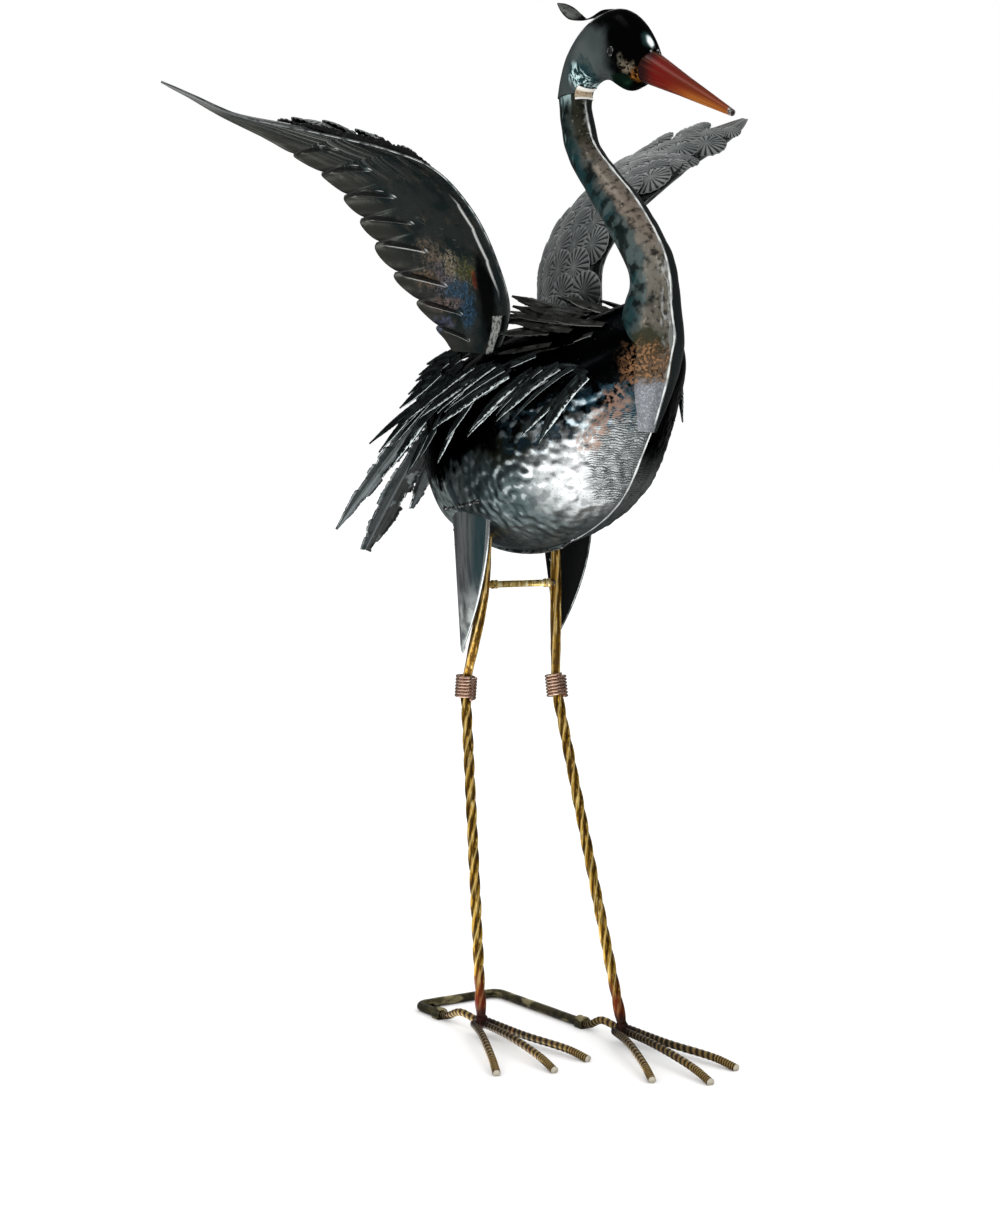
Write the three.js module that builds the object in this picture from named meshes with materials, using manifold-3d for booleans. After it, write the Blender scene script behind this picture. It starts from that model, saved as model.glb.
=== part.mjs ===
// Heron garden statue, welded from sheet metal and rod, standing on two legs and a rear wire loop.
// Millimetres. +X is the way the bird faces, +Y is its left side, +Z is up, and the ground is z = 0.
import * as THREE from 'three';
import { mergeVertices } from 'three/addons/utils/BufferGeometryUtils.js';
import Module from 'manifold-3d';

const wasm = await Module();
wasm.setup();

// Overall size
const height = 600;
const halfSpan = 200;
const halfLength = 160;

// Stock
const gap = 0.3;
const sheetGauge = 1;
const rodRadius = 2.3;
const legBar = 5.4;
const loopRadius = 2.8;

// Body: two half shells, domed over one outline in the middle plane
const bodyCentre = { x: 14, z: 354 };
const bodyHalfWidth = 57;
const bodyOutline = [
  [111, 411], [101.5, 381], [87, 349], [66, 319], [32, 299], [-12, 288], [-61, 289.5],
  [-98, 302.5], [-116, 331], [-110, 364], [-70, 396], [-12, 415], [45, 421], [90, 428],
];
const bodyAround = 30;
const bodyAcross = 10;
const keelPower = 1.15;
const bellyPower = 1.6;
const backPower = 2.1;

// Neck: centre x, centre z, radius in the middle plane, half width, from the lip on the body upward
const neckStations = [
  [85, 357, 8.2, 6.6], [87.6, 374, 13, 12], [90, 390, 17, 16.5], [91, 406, 19.2, 18.2],
  [93.2, 423, 16, 15.5],
  [94.3, 434, 13.8, 13.4], [92, 445, 13, 12.8], [85.6, 455, 12.8, 12.6], [77.4, 464.7, 12.8, 12.6],
  [65.2, 477.9, 12.2, 12], [54.4, 487.8, 11.4, 11.2], [44.2, 497.6, 10.4, 10.3],
  [35, 506.5, 9.9, 9.9], [28.4, 515.5, 9.6, 9.6], [24.6, 525, 9.6, 9.6], [21.8, 536, 9.2, 9.2],
  [20.7, 544.2, 8.8, 8.8],
];
const neckSteps = 22;
const neckSides = 12;

// Head: upper point, lower point and half width of each section, from the neck joint to the beak
const headStations = [
  [10.9, 543.9, 30.1, 546, 9.5], [14.6, 557, 31.4, 546.4, 10], [22.4, 570, 38.6, 549.2, 11.8],
  [37.7, 582, 47.3, 549.4, 13.4], [54, 587.2, 57.5, 546.6, 14], [67, 586.6, 71, 542, 13.4],
  [78, 580.6, 79.8, 542.4, 11.6], [87, 571, 84.2, 543.6, 9.8], [93.3, 560.3, 85.9, 544.1, 8.9],
];
const headSteps = 14;
const headSides = 12;

const eye = { x: 71, y: 12.9, z: 562, radius: 2.5, wire: 0.9 };

// Beak: a hollow-tipped cone square to the last section of the head
const beakTip = { x: halfLength - 0.8, z: 519.5 };
const beakBaseRadius = 8.8;
const beakTipRadius = 1.75;
const beakBore = 1.1;
const beakBoreDepth = 4;

// Crest: a strip over the crown that ends in a lifted leaf; x, z, half width and roll in degrees
const crestStations = [
  [66, 588.6, 2.2, 0], [54, 588.9, 4.2, 0], [42, 586.6, 3.6, 8], [31, 586.4, 1.6, 20],
  [24, 588.6, 2.8, 40], [16.8, 592, 3.9, 55], [9.6, 595.9, 3, 60], [3.4, height - 0.6, 0.5, 60],
];
const crestSteps = 10;

// Wings: leading edge and trailing edge points from root to tip, for the left wing.
// The right wing is its mirror image, but for the last stations.
const wingEdges = [
  { lead: [-9, 33, 400], trail: [-53, 35, 404] },
  { lead: [2.5, 32.5, 425], trail: [-66, 43, 425] },
  { lead: [-2.8, 38.5, 455], trail: [-86, 56, 453] },
  { lead: [-0.6, 55.7, 480], trail: [-92.5, 71, 480] },
  { lead: [0.6, 80, 500], trail: [-92, 91, 501] },
  { lead: [-12, 103, 511], trail: [-98.5, 110.5, 515] },
  { lead: [-38, 132, 520.5], trail: [-104, 130, 526] },
];
const wingTipLeft = [
  { lead: [-52, 168, 537], trail: [-88, 158, 544] },
  { lead: [-63, 192, 550], trail: [-78, 185, 554] },
  { lead: [-66, halfSpan - 0.1, 558], trail: [-69, 198, 559] },
];
const wingTipRight = [
  { lead: [-67, 162, 530], trail: [-106, 158, 537] },
  { lead: [-86, 186, 543], trail: [-103, 181, 546] },
  { lead: [-97.5, halfSpan, 551], trail: [-99, 198, 551] },
];
const wingSpanSteps = 32;
const wingChordSteps = 3;
const wingCamber = 7;
const wingLobes = 10;
const wingLobeDepth = 0.13;
const wingGroove = 0.9;

// Cover of round fan scales over the upper face of each wing, as shares of span and chord
const cover = { from: 0.07, front: 0.09, back: 0.85, scallop: 0.07, scales: 5, rows: 3 };
const coverEnd = { right: 0.64, left: 0.8 };
const coverLift = 1.8;
const scaleDome = 1.9;
const coverSpanSteps = 20;

// Tabs that hold the wing roots, as shares of the wing's span and chord
const tab = { top: 0.105, front: 0.02, back: 0.13, lift: 1.9 };

// Rows of feathers on the body. A row runs between two places, each given as the share round the
// outline and the share across. The feathers point along the aim as far as the surface lets them.
const featherRows = [
  { name: 'mantle_1', from: [0.866, -0.26], to: [0.866, 0.26], count: 3, length: 46, width: 12,
    spread: 0.2, tilt: 0.36 },
  { name: 'mantle_2', from: [0.841, -0.24], to: [0.841, 0.24], count: 3, length: 52, width: 13,
    spread: 0.1, tilt: 0.24 },
  { name: 'mantle_3', from: [0.813, -0.2], to: [0.813, 0.2], count: 3, length: 52, width: 13,
    spread: 0, tilt: 0.24 },
  { name: 'mantle_4', from: [0.786, -0.2], to: [0.786, 0.2], count: 3, length: 56, width: 13,
    spread: 0, tilt: 0.2 },
  { name: 'mantle_5', from: [0.758, -0.24], to: [0.758, 0.24], count: 3, length: 60, width: 13,
    spread: 0.3, tilt: 0.14 },
  { name: 'rump_1', from: [0.724, -0.56], to: [0.724, 0.56], count: 6, length: 66, width: 12,
    spread: 0.3, tilt: 0.13 },
  { name: 'rump_2', from: [0.694, -0.17], to: [0.694, 0.17], count: 3, length: 54, width: 11,
    spread: 0.5, tilt: 0.05 },
];
const flankRows = [
  { name: 'shoulder', from: [1.02, 0.6], to: [0.912, 0.84], count: 3, length: 45, width: 11,
    aim: [-0.78, 0.2, -0.58], tilt: 0.08, leftCount: 2 },
  { name: 'flank', from: [0.85, 0.85], to: [0.706, 0.68], count: 4, length: 58, width: 12,
    aim: [-0.8, 0.05, -0.52], tilt: 0.1, leftCount: 4 },
];
const featherWidths = [0.85, 1, 0.9, 0.1];
const featherSteps = 3;
const featherDroop = 0.06;
const featherClear = 1.4;
const bandSteps = 3;
const bandWidth = 5;

// Tail feathers: root, tip, roll in degrees, greatest width and the share of it along the length
const tailFeathers = [
  { name: 'outer', root: [-93, 23, 376], tip: [-halfLength + 0.6, 55, 296.5], roll: 30,
    width: 13, widths: [0.7, 1, 1, 0.75, 0.1] },
  { name: 'inner', root: [-95, 12, 374], tip: [-154, 38, 284], roll: 30,
    width: 17, widths: [0.5, 0.8, 1, 1, 0.4] },
];
const tailMiddle = {
  name: 'middle', root: [-98, 0, 376], tip: [-150, -4, 309], roll: 0,
  width: 17, widths: [0.6, 0.9, 1, 0.3],
};
const tailSteps = 5;
const tailFold = 0.2;

// Thigh plates: curved sheets that taper to a point beside each leg
const thighPlates = {
  right: { rear: [-59, -31, 315], front: [-12, -36, 321], tip: [-52, -29.5, 226] },
  left: { rear: [-59, 31, 315], front: [-13, 36, 321], tip: [-40, 30.5, 233] },
};
const thighBulge = 5;
const thighSteps = 6;
const thighFullness = 2;
const thighTipShare = 0.1;

// Legs
const ankle = { right: [-32, -29, 11], left: [28, 30, 11] };
const knee = { right: [-58, -23, 205], left: [-32, 24.7, 205] };
const thighBend = { right: [-37.5, -23.7, 262], left: [-31.5, 24.3, 262] };
const hip = { right: [-31.5, -24, 312], left: [-31, 24, 312] };
const upperSteps = 9;
const twistPitch = 56;
const thighPitch = 300;
const twistStep = 60;
const wrapHeight = 15.2;
const wrapTurns = 7;
const wrapBore = 5.3;
const wrapRadius = 6.6;
const wrapShift = 0.75;
const crossbar = { right: [-36.9, -20.2, 267], left: [-31.6, 20.6, 267], radius: 2, ring: 2.7 };

// Feet: three front toes and one back toe on each side
const toeTips = {
  right: [[47, -71], [60, -41], [52, -12]],
  left: [[106, -8], [127, 16], [113, 46]],
};
const toeHeight = 7.2;
const toeArch = [1.6, 0.6, -2.2];
const toeSteps = 7;
const toeSides = 6;
const toeBend = 0.82;
const toeSlope = 0.66;
const toeClaw = 0.72;

// Base loop: wire bent round three sides, with a collar at each end over the back toe
const loop = { rear: -104, right: -29, left: 30.5, endRight: -78, endLeft: -12, corner: 7 };
const collarLength = 7;
const collarRadius = 4.3;
const collarBore = 3.6;

const steel = { color: 0x5b666b, roughness: 0.35, metalness: 0.9 };
const darkSteel = { color: 0x1e2526, roughness: 0.35, metalness: 0.9 };
const gold = { color: 0x9a7430, roughness: 0.35, metalness: 0.9 };
const copper = { color: 0x8a5a48, roughness: 0.4, metalness: 0.9 };
const bronze = { color: 0x3d3323, roughness: 0.5, metalness: 0.8 };
const amber = { color: 0xa8431a, roughness: 0.35, metalness: 0.6 };

const point = (x, y, z) => new THREE.Vector3(x, y, z);

// Closed body through rings of equal count, each end filled by strips across its ring
function loft(rings) {
  const count = rings[0].length;
  const last = (rings.length - 1) * count;
  const index = [];
  const quad = (a, b, c, d) => index.push(a, b, c, a, c, d);
  for (let i = 0; i + 1 < rings.length; i++) {
    for (let j = 0; j < count; j++) {
      const next = (j + 1) % count;
      quad(i * count + j, i * count + next, (i + 1) * count + next, (i + 1) * count + j);
    }
  }
  for (let j = 0; j + 1 < count / 2; j++) {
    const far = count - 1 - j;
    quad(far, far - 1, j + 1, j);
    quad(last + j, last + j + 1, last + far - 1, last + far);
  }
  return closedGeometry(rings.flat(), index);
}

// Geometry with its faces turned outward
function closedGeometry(points, index) {
  let volume = 0;
  const cross = new THREE.Vector3();
  for (let i = 0; i < index.length; i += 3) {
    cross.crossVectors(points[index[i + 1]], points[index[i + 2]]);
    volume += points[index[i]].dot(cross);
  }
  const geometry = new THREE.BufferGeometry().setFromPoints(points);
  geometry.setIndex(volume > 0 ? index : index.reverse());
  geometry.computeVertexNormals();
  return geometry;
}

// Thin sheet about a middle surface of (u, v), both from 0 to 1
function sheet(uSteps, vSteps, gauge, surface) {
  const step = 1e-3;
  const normal = (u, v) => {
    const du = surface(Math.min(u + step, 1), v).sub(surface(Math.max(u - step, 0), v));
    const dv = surface(u, Math.min(v + step, 1)).sub(surface(u, Math.max(v - step, 0)));
    return du.cross(dv).normalize();
  };
  const rings = [];
  for (let i = 0; i <= uSteps; i++) {
    const u = i / uSteps;
    const upper = [];
    const lower = [];
    for (let j = 0; j <= vSteps; j++) {
      const v = j / vSteps;
      const middle = surface(u, v);
      const offset = normal(u, v).multiplyScalar(gauge / 2);
      upper.push(middle.clone().add(offset));
      lower.unshift(middle.clone().sub(offset));
    }
    rings.push([...upper, ...lower]);
  }
  return loft(rings);
}

// Value of a smooth line through evenly spaced values, at t from 0 to 1
function along(values, t) {
  const place = t * (values.length - 1);
  const i = Math.min(Math.floor(place), values.length - 2);
  const before = values[Math.max(i - 1, 0)];
  const after = values[Math.min(i + 2, values.length - 1)];
  const f = place - i;
  const start = (values[i + 1] - before) / 2;
  const end = (after - values[i]) / 2;
  const rise = values[i + 1] - values[i];
  return values[i] + f * (start + f * (3 * rise - 2 * start - end + f * (start + end - 2 * rise)));
}

const column = (stations, t, k) => along(stations.map((station) => station[k]), t);

function toSolid(geometry) {
  const welded = geometry.clone();
  welded.deleteAttribute('normal');
  welded.deleteAttribute('uv');
  const merged = mergeVertices(welded);
  return new wasm.Manifold(new wasm.Mesh({
    numProp: 3,
    vertProperties: merged.attributes.position.array,
    triVerts: Uint32Array.from(merged.index.array),
  }));
}

function toGeometry(solid) {
  const mesh = solid.getMesh();
  const geometry = new THREE.BufferGeometry();
  geometry.setAttribute('position', new THREE.BufferAttribute(mesh.vertProperties, 3));
  geometry.setIndex(new THREE.BufferAttribute(mesh.triVerts, 1));
  geometry.computeVertexNormals();
  return geometry;
}

function join(geometries) {
  return toGeometry(geometries.map(toSolid).reduce((all, next) => all.add(next)));
}

// What is left of a piece outside its neighbours; crumbs smaller than the main piece are dropped
function cut(geometry, ...neighbours) {
  let solid = toSolid(geometry);
  for (const neighbour of neighbours) solid = solid.subtract(toSolid(neighbour));
  const pieces = solid.decompose().sort((a, b) => b.volume() - a.volume());
  return toGeometry(pieces[0]);
}

const outlineCurve = new THREE.CatmullRomCurve3(bodyOutline.map(([x, z]) => point(x, 0, z)), true);

// Point on the body: t runs round the middle outline, across runs from -1 (right) to 1 (left)
function bodyPoint(t, across, grow = 0) {
  const rim = outlineCurve.getPoint(((t % 1) + 1) % 1);
  const frontness = THREE.MathUtils.smoothstep(rim.x, 20, 95);
  const highness = THREE.MathUtils.smoothstep(rim.z, 310, 400);
  const roundness = THREE.MathUtils.lerp(bellyPower, backPower, highness);
  const power = THREE.MathUtils.lerp(roundness, keelPower, frontness);
  const share = Math.sqrt(Math.max(0, 1 - Math.abs(across) ** power));
  const radial = point(rim.x - bodyCentre.x, 0, rim.z - bodyCentre.z);
  radial.multiplyScalar(share * (1 + grow / radial.length()));
  return point(bodyCentre.x, across * (bodyHalfWidth + grow), bodyCentre.z).add(radial);
}

function bodyGeometry(grow = 0) {
  const rings = [];
  const poleShare = 0.04;
  for (let i = 0; i <= bodyAcross; i++) {
    const angle = THREE.MathUtils.lerp(poleShare, 1 - poleShare, i / bodyAcross) * Math.PI;
    const ring = [];
    for (let j = 0; j < bodyAround; j++) ring.push(bodyPoint(j / bodyAround, -Math.cos(angle), grow));
    rings.push(ring);
  }
  return loft(rings);
}

// Section ring between a back point and a front point in the middle plane
function sectionRing(back, front, halfWidth, sides, grow = 0) {
  const centre = back.clone().add(front).multiplyScalar(0.5);
  const reach = front.clone().sub(centre);
  reach.multiplyScalar(1 + grow / reach.length());
  return Array.from({ length: sides }, (_, k) => {
    const angle = (k + 0.5) / sides * 2 * Math.PI;
    const side = Math.sin(angle) * (halfWidth + grow);
    return centre.clone().addScaledVector(reach, Math.cos(angle)).add(point(0, side, 0));
  });
}

function neckCentre(t) {
  return point(column(neckStations, t, 0), 0, column(neckStations, t, 1));
}

function neckGeometry(grow = 0) {
  const rings = [];
  const step = 1e-3;
  for (let i = 0; i <= neckSteps; i++) {
    const t = i / neckSteps;
    const run = neckCentre(Math.min(t + step, 1)).sub(neckCentre(Math.max(t - step, 0))).normalize();
    const forward = point(run.z, 0, -run.x).multiplyScalar(column(neckStations, t, 2));
    const centre = neckCentre(t);
    const back = centre.clone().sub(forward);
    const front = centre.clone().add(forward);
    rings.push(sectionRing(back, front, column(neckStations, t, 3), neckSides, grow));
  }
  return loft(rings);
}

function headGeometry(grow = 0) {
  const rings = [];
  for (let i = 0; i <= headSteps; i++) {
    const t = i / headSteps;
    const upper = point(column(headStations, t, 0), 0, column(headStations, t, 1));
    const lower = point(column(headStations, t, 2), 0, column(headStations, t, 3));
    rings.push(sectionRing(upper, lower, column(headStations, t, 4), headSides, grow));
  }
  return loft(rings);
}

function beakGeometry(length) {
  const profile = [
    [0, 0], [beakBaseRadius, 0], [beakBaseRadius * 0.62, length * 0.42], [beakTipRadius, length],
    [beakBore, length], [beakBore, length - beakBoreDepth], [0, length - beakBoreDepth],
  ];
  return new THREE.LatheGeometry(profile.map(([r, y]) => new THREE.Vector2(r, y)), 12);
}

function crestGeometry() {
  return sheet(crestSteps, 2, sheetGauge, (u, v) => {
    const roll = THREE.MathUtils.degToRad(column(crestStations, u, 3));
    const half = column(crestStations, u, 2) * (v * 2 - 1);
    const x = column(crestStations, u, 0);
    const z = column(crestStations, u, 1);
    return point(x, half * Math.cos(roll), z + half * Math.sin(roll));
  });
}

// Point on a wing's middle surface; u runs from root to tip, v from leading to trailing edge
function wingSurface(edges, side) {
  const coordinate = (edge, k, u) => along(edges.map((station) => station[edge][k]), u);
  return (u, v, plain = false) => {
    const lead = point(...[0, 1, 2].map((k) => coordinate('lead', k, u)));
    const trail = point(...[0, 1, 2].map((k) => coordinate('trail', k, u)));
    const wave = Math.abs(Math.sin(Math.PI * wingLobes * u));
    const lobed = THREE.MathUtils.smoothstep(u, 0.02, 0.1) * (1 - THREE.MathUtils.smoothstep(u, 0.6, 0.85));
    const reach = plain ? 1 : 1 - wingLobeDepth * lobed * (1 - Math.sqrt(wave));
    const chord = trail.sub(lead);
    const next = point(...[0, 1, 2].map((k) => coordinate('lead', k, Math.min(u + 0.01, 1))));
    const before = point(...[0, 1, 2].map((k) => coordinate('lead', k, Math.max(u - 0.01, 0))));
    const upward = next.sub(before).cross(chord).normalize();
    const fade = THREE.MathUtils.smoothstep(chord.length(), 15, 90);
    const groove = plain ? 0 : wingGroove * lobed * (wave - 0.5) * THREE.MathUtils.smoothstep(v, 0.35, 0.9);
    const bulge = wingCamber * fade * 4 * v * (1 - v) + groove;
    const place = lead.addScaledVector(chord, v * reach).addScaledVector(upward, bulge);
    return point(place.x, place.y * side, place.z);
  };
}

// Sheet of domed scales that follows the wing a little above it, with a scalloped rear edge
function coverGeometry(surface, side, end) {
  const step = 0.01;
  const upward = (u, v) => {
    const spanwise = surface(u + step, v, true).sub(surface(u - step, v, true));
    const chordwise = surface(u, v + step, true).sub(surface(u, v - step, true));
    return spanwise.cross(chordwise).normalize().multiplyScalar(side);
  };
  return sheet(coverSpanSteps, cover.rows * 2, sheetGauge, (a, b) => {
    const row = b * cover.rows;
    const shift = Math.floor(Math.min(row, cover.rows - 0.01)) % 2 ? 0.5 : 0;
    const wave = Math.abs(Math.sin(Math.PI * (cover.scales * a + shift)));
    const u = THREE.MathUtils.lerp(cover.from, end, a);
    const v = THREE.MathUtils.lerp(cover.front, cover.back + cover.scallop * wave * b, b);
    const rise = coverLift + scaleDome * wave * Math.abs(Math.sin(Math.PI * row));
    return surface(u, v, true).addScaledVector(upward(u, v), rise);
  });
}

function tabGeometry(surface, side) {
  return sheet(4, 1, sheetGauge, (u, v) => {
    const chord = THREE.MathUtils.lerp(tab.front, tab.back, v);
    const place = surface(u * tab.top, chord, true);
    return place.add(point(0, side * tab.lift, 0));
  });
}

// One leaf-shaped feather of sheet, folded along its middle if it has a fold
function featherGeometry({ root, run, out, length, width, widths, tilt, fold = 0, steps }) {
  const side = run.clone().cross(out).normalize();
  return sheet(steps, fold > 0 ? 2 : 1, sheetGauge, (u, v) => {
    const half = (width / 2) * along(widths, u);
    const across = v * 2 - 1;
    const rise = length * u * (tilt - featherDroop * u) - Math.abs(across) * half * fold;
    return root.clone().addScaledVector(run, length * u).addScaledVector(out, rise)
      .addScaledVector(side, half * across);
  });
}

// Place on the body, and the directions outward from it and along it toward the aim
function bodyFrame(t, across, aim) {
  const step = 2e-3;
  const base = bodyPoint(t, across);
  const round = bodyPoint(t - step, across).sub(bodyPoint(t + step, across));
  const out = round.cross(bodyPoint(t, across + step).sub(bodyPoint(t, across - step))).normalize();
  if (out.dot(base.clone().sub(point(bodyCentre.x, 0, bodyCentre.z))) < 0) out.negate();
  const run = aim.clone().addScaledVector(out, -aim.dot(out)).normalize();
  return { base, out, run };
}

// Feathers in a row, joined by the strip across the body that they are cut from
function featherRowGeometry({ from, to, count, length, width, spread, aim, tilt }) {
  const placeAt = (share) => {
    const t = THREE.MathUtils.lerp(from[0], to[0], share);
    const across = THREE.MathUtils.lerp(from[1], to[1], share);
    return bodyFrame(t, across, aim ? point(...aim) : point(-1, spread * across, 0));
  };
  const band = sheet(bandSteps, 1, sheetGauge, (u, v) => {
    const { base, out, run } = placeAt(u);
    return base.addScaledVector(out, featherClear).addScaledVector(run, bandWidth * (v - 0.5));
  });
  const feathers = Array.from({ length: count }, (_, k) => {
    const { base, out, run } = placeAt(k / (count - 1));
    const root = base.addScaledVector(out, featherClear);
    return featherGeometry({
      root, run, out, length, width, tilt, widths: featherWidths, steps: featherSteps,
    });
  });
  return join([band, ...feathers]);
}

function tailGeometry({ root, tip, roll, width, widths }, side = 1) {
  const start = point(root[0], root[1] * side, root[2]);
  const run = point(tip[0], tip[1] * side, tip[2]).sub(start);
  const length = run.length();
  run.normalize();
  const out = point(0, 0, 1).addScaledVector(run, -run.z).normalize();
  out.applyAxisAngle(run, THREE.MathUtils.degToRad(-side * roll));
  return featherGeometry({
    root: start, run, out, length, width, widths, tilt: featherDroop, fold: tailFold, steps: tailSteps,
  });
}

function thighGeometry({ rear, front, tip }) {
  const side = Math.sign(tip[1]);
  return sheet(thighSteps, 3, sheetGauge, (u, v) => {
    const width = Math.max(1 - u ** thighFullness, thighTipShare);
    const place = point(...rear).lerp(point(...tip), u);
    place.addScaledVector(point(...front).sub(point(...rear)), v * width);
    place.y += side * thighBulge * width * 4 * v * (1 - v);
    return place;
  });
}

// Rod with a regular section swept along a curve
function rodGeometry(curve, radius, steps, sides = 8) {
  const corners = Array.from({ length: sides }, (_, k) => {
    const angle = ((k + 0.5) / sides) * 2 * Math.PI;
    const reach = radius / Math.cos(Math.PI / sides);
    return new THREE.Vector2(reach * Math.cos(angle), reach * Math.sin(angle));
  });
  return new THREE.ExtrudeGeometry(new THREE.Shape(corners), { steps, extrudePath: curve });
}

// Square bar twisted about its centre line
function twistedBar(line, pitch, steps) {
  const turns = line.getLength() / pitch;
  const rings = [];
  for (let i = 0; i <= steps; i++) {
    const share = i / steps;
    const centre = line.getPointAt(share);
    const turn = new THREE.Quaternion().setFromUnitVectors(point(0, 0, 1), line.getTangentAt(share));
    const ring = Array.from({ length: 4 }, (_, k) => {
      const corner = (share * turns * 2 + (k + 0.5) / 2) * Math.PI;
      const reach = legBar / Math.SQRT2;
      const local = point(reach * Math.cos(corner), reach * Math.sin(corner), 0);
      return local.applyQuaternion(turn).add(centre);
    });
    rings.push(ring);
  }
  return loft(rings);
}

function wrapGeometry() {
  const pitch = wrapHeight / wrapTurns;
  const profile = [new THREE.Vector2(wrapBore, 0)];
  for (let k = 0; k < wrapTurns; k++) {
    profile.push(new THREE.Vector2(wrapRadius - 0.6, k * pitch));
    profile.push(new THREE.Vector2(wrapRadius, (k + 0.5) * pitch));
  }
  profile.push(new THREE.Vector2(wrapRadius - 0.6, wrapHeight), new THREE.Vector2(wrapBore, wrapHeight));
  profile.push(profile[0].clone());
  return new THREE.LatheGeometry(profile, 8);
}

// Bar between the legs, with two small rings at its right end and one at its left
function crossbarGeometry(length) {
  const profile = [[0, 0], [crossbar.radius, 0]];
  for (const start of [1, 3.4, length - 2.6]) {
    profile.push([crossbar.radius, start], [crossbar.ring, start + 0.4]);
    profile.push([crossbar.ring, start + 1.2], [crossbar.radius, start + 1.6]);
  }
  profile.push([crossbar.radius, length], [0, length]);
  return new THREE.LatheGeometry(profile.map(([r, y]) => new THREE.Vector2(r, y)), 8);
}

// Ring that clasps one end of the base loop and the back toe that meets it
function collarGeometry() {
  const half = collarLength / 2;
  const profile = [[collarBore, -half], [collarRadius, -half], [collarRadius, half], [collarBore, half]];
  profile.push(profile[0]);
  const ring = new THREE.LatheGeometry(profile.map(([r, y]) => new THREE.Vector2(r, y)), 10);
  return ring.rotateZ(-Math.PI / 2);
}

// Curve of a front toe, from the ankle out and down to the ground
function toeCurve(root, tip, arch) {
  const end = point(tip[0], tip[1], rodRadius * toeClaw);
  const start = point(root[0], root[1], toeHeight);
  const bend = start.clone().lerp(end, toeBend);
  bend.z = toeHeight * toeSlope + arch / 3;
  const middle = start.clone().lerp(end, toeBend * 0.45);
  middle.z = toeHeight + arch;
  return new THREE.CatmullRomCurve3([start, middle, bend, end]);
}

// Curve of a back toe, from inside the collar up and over to the ankle
function backToeCurve(start, end) {
  const rise = start.clone().lerp(end, 0.5);
  rise.z = toeHeight + 1.5;
  return new THREE.CatmullRomCurve3([start, start.clone().lerp(end, 0.2), rise, end]);
}

function loopCurve() {
  const z = loopRadius;
  const { rear, right, left, endRight, endLeft, corner } = loop;
  const path = new THREE.CurvePath();
  path.add(new THREE.LineCurve3(point(endRight, right, z), point(rear + corner, right, z)));
  path.add(new THREE.QuadraticBezierCurve3(
    point(rear + corner, right, z), point(rear, right, z), point(rear, right + corner, z)));
  path.add(new THREE.LineCurve3(point(rear, right + corner, z), point(rear, left - corner, z)));
  path.add(new THREE.QuadraticBezierCurve3(
    point(rear, left - corner, z), point(rear, left, z), point(rear + corner, left, z)));
  path.add(new THREE.LineCurve3(point(rear + corner, left, z), point(endLeft, left, z)));
  return path;
}

const statue = new THREE.Group();

function add(name, geometry, look) {
  const mesh = new THREE.Mesh(geometry, new THREE.MeshStandardMaterial(look));
  mesh.name = name;
  statue.add(mesh);
  return mesh;
}

const grownBody = bodyGeometry(gap);
const grownNeck = neckGeometry(gap);
add('body', cut(bodyGeometry(), grownNeck), steel);
add('neck', neckGeometry(), steel);
add('head', headGeometry(), darkSteel);

const [upperX, upperZ, lowerX, lowerZ] = headStations.at(-1);
const face = point((upperX + lowerX) / 2, 0, (upperZ + lowerZ) / 2);
const beakRun = point(beakTip.x, 0, beakTip.z).sub(face);
const beakMesh = add('beak', beakGeometry(beakRun.length() - gap), amber);
beakRun.normalize();
beakMesh.position.copy(face).addScaledVector(beakRun, gap);
beakMesh.quaternion.setFromUnitVectors(point(0, 1, 0), beakRun);

add('crest_plate', crestGeometry(), darkSteel);

for (const [sideName, side] of [['right', -1], ['left', 1]]) {
  const ring = new THREE.TorusGeometry(eye.radius, eye.wire, 4, 9);
  ring.rotateX(Math.PI / 2).translate(eye.x, side * eye.y, eye.z);
  add(`eye_${sideName}`, cut(ring, headGeometry(gap)), steel);
}

for (const [sideName, side] of [['right', -1], ['left', 1]]) {
  const surface = wingSurface([...wingEdges, ...(side > 0 ? wingTipLeft : wingTipRight)], side);
  const main = sheet(wingSpanSteps, wingChordSteps, sheetGauge, surface);
  add(`wing_${sideName}`, cut(main, grownBody), darkSteel);
  const scales = coverGeometry(surface, side, coverEnd[sideName]);
  add(`wing_scales_${sideName}`, cut(scales, grownBody), darkSteel);
  add(`wing_tab_${sideName}`, cut(tabGeometry(surface, side), grownBody), steel);
}

for (const row of featherRows) {
  add(`feathers_${row.name}`, cut(featherRowGeometry(row), grownNeck, grownBody), darkSteel);
}
for (const [sideName, side] of [['right', -1], ['left', 1]]) {
  for (const row of flankRows) {
    const count = side > 0 ? row.leftCount : row.count;
    const skipped = (row.count - count) / (row.count - 1);
    const from = row.from.map((value, k) => THREE.MathUtils.lerp(value, row.to[k], skipped));
    const mirrored = {
      ...row,
      count,
      from: [from[0], from[1] * side],
      to: [row.to[0], row.to[1] * side],
      aim: [row.aim[0], row.aim[1] * side, row.aim[2]],
    };
    const rows = cut(featherRowGeometry(mirrored), grownNeck, grownBody);
    add(`feathers_${row.name}_${sideName}`, rows, darkSteel);
  }
  for (const tail of tailFeathers) {
    add(`tail_${sideName}_${tail.name}`, cut(tailGeometry(tail, side), grownBody), steel);
  }
  add(`thigh_plate_${sideName}`, cut(thighGeometry(thighPlates[sideName]), grownBody), steel);
}
add('tail_middle', cut(tailGeometry(tailMiddle), grownBody), steel);

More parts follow.
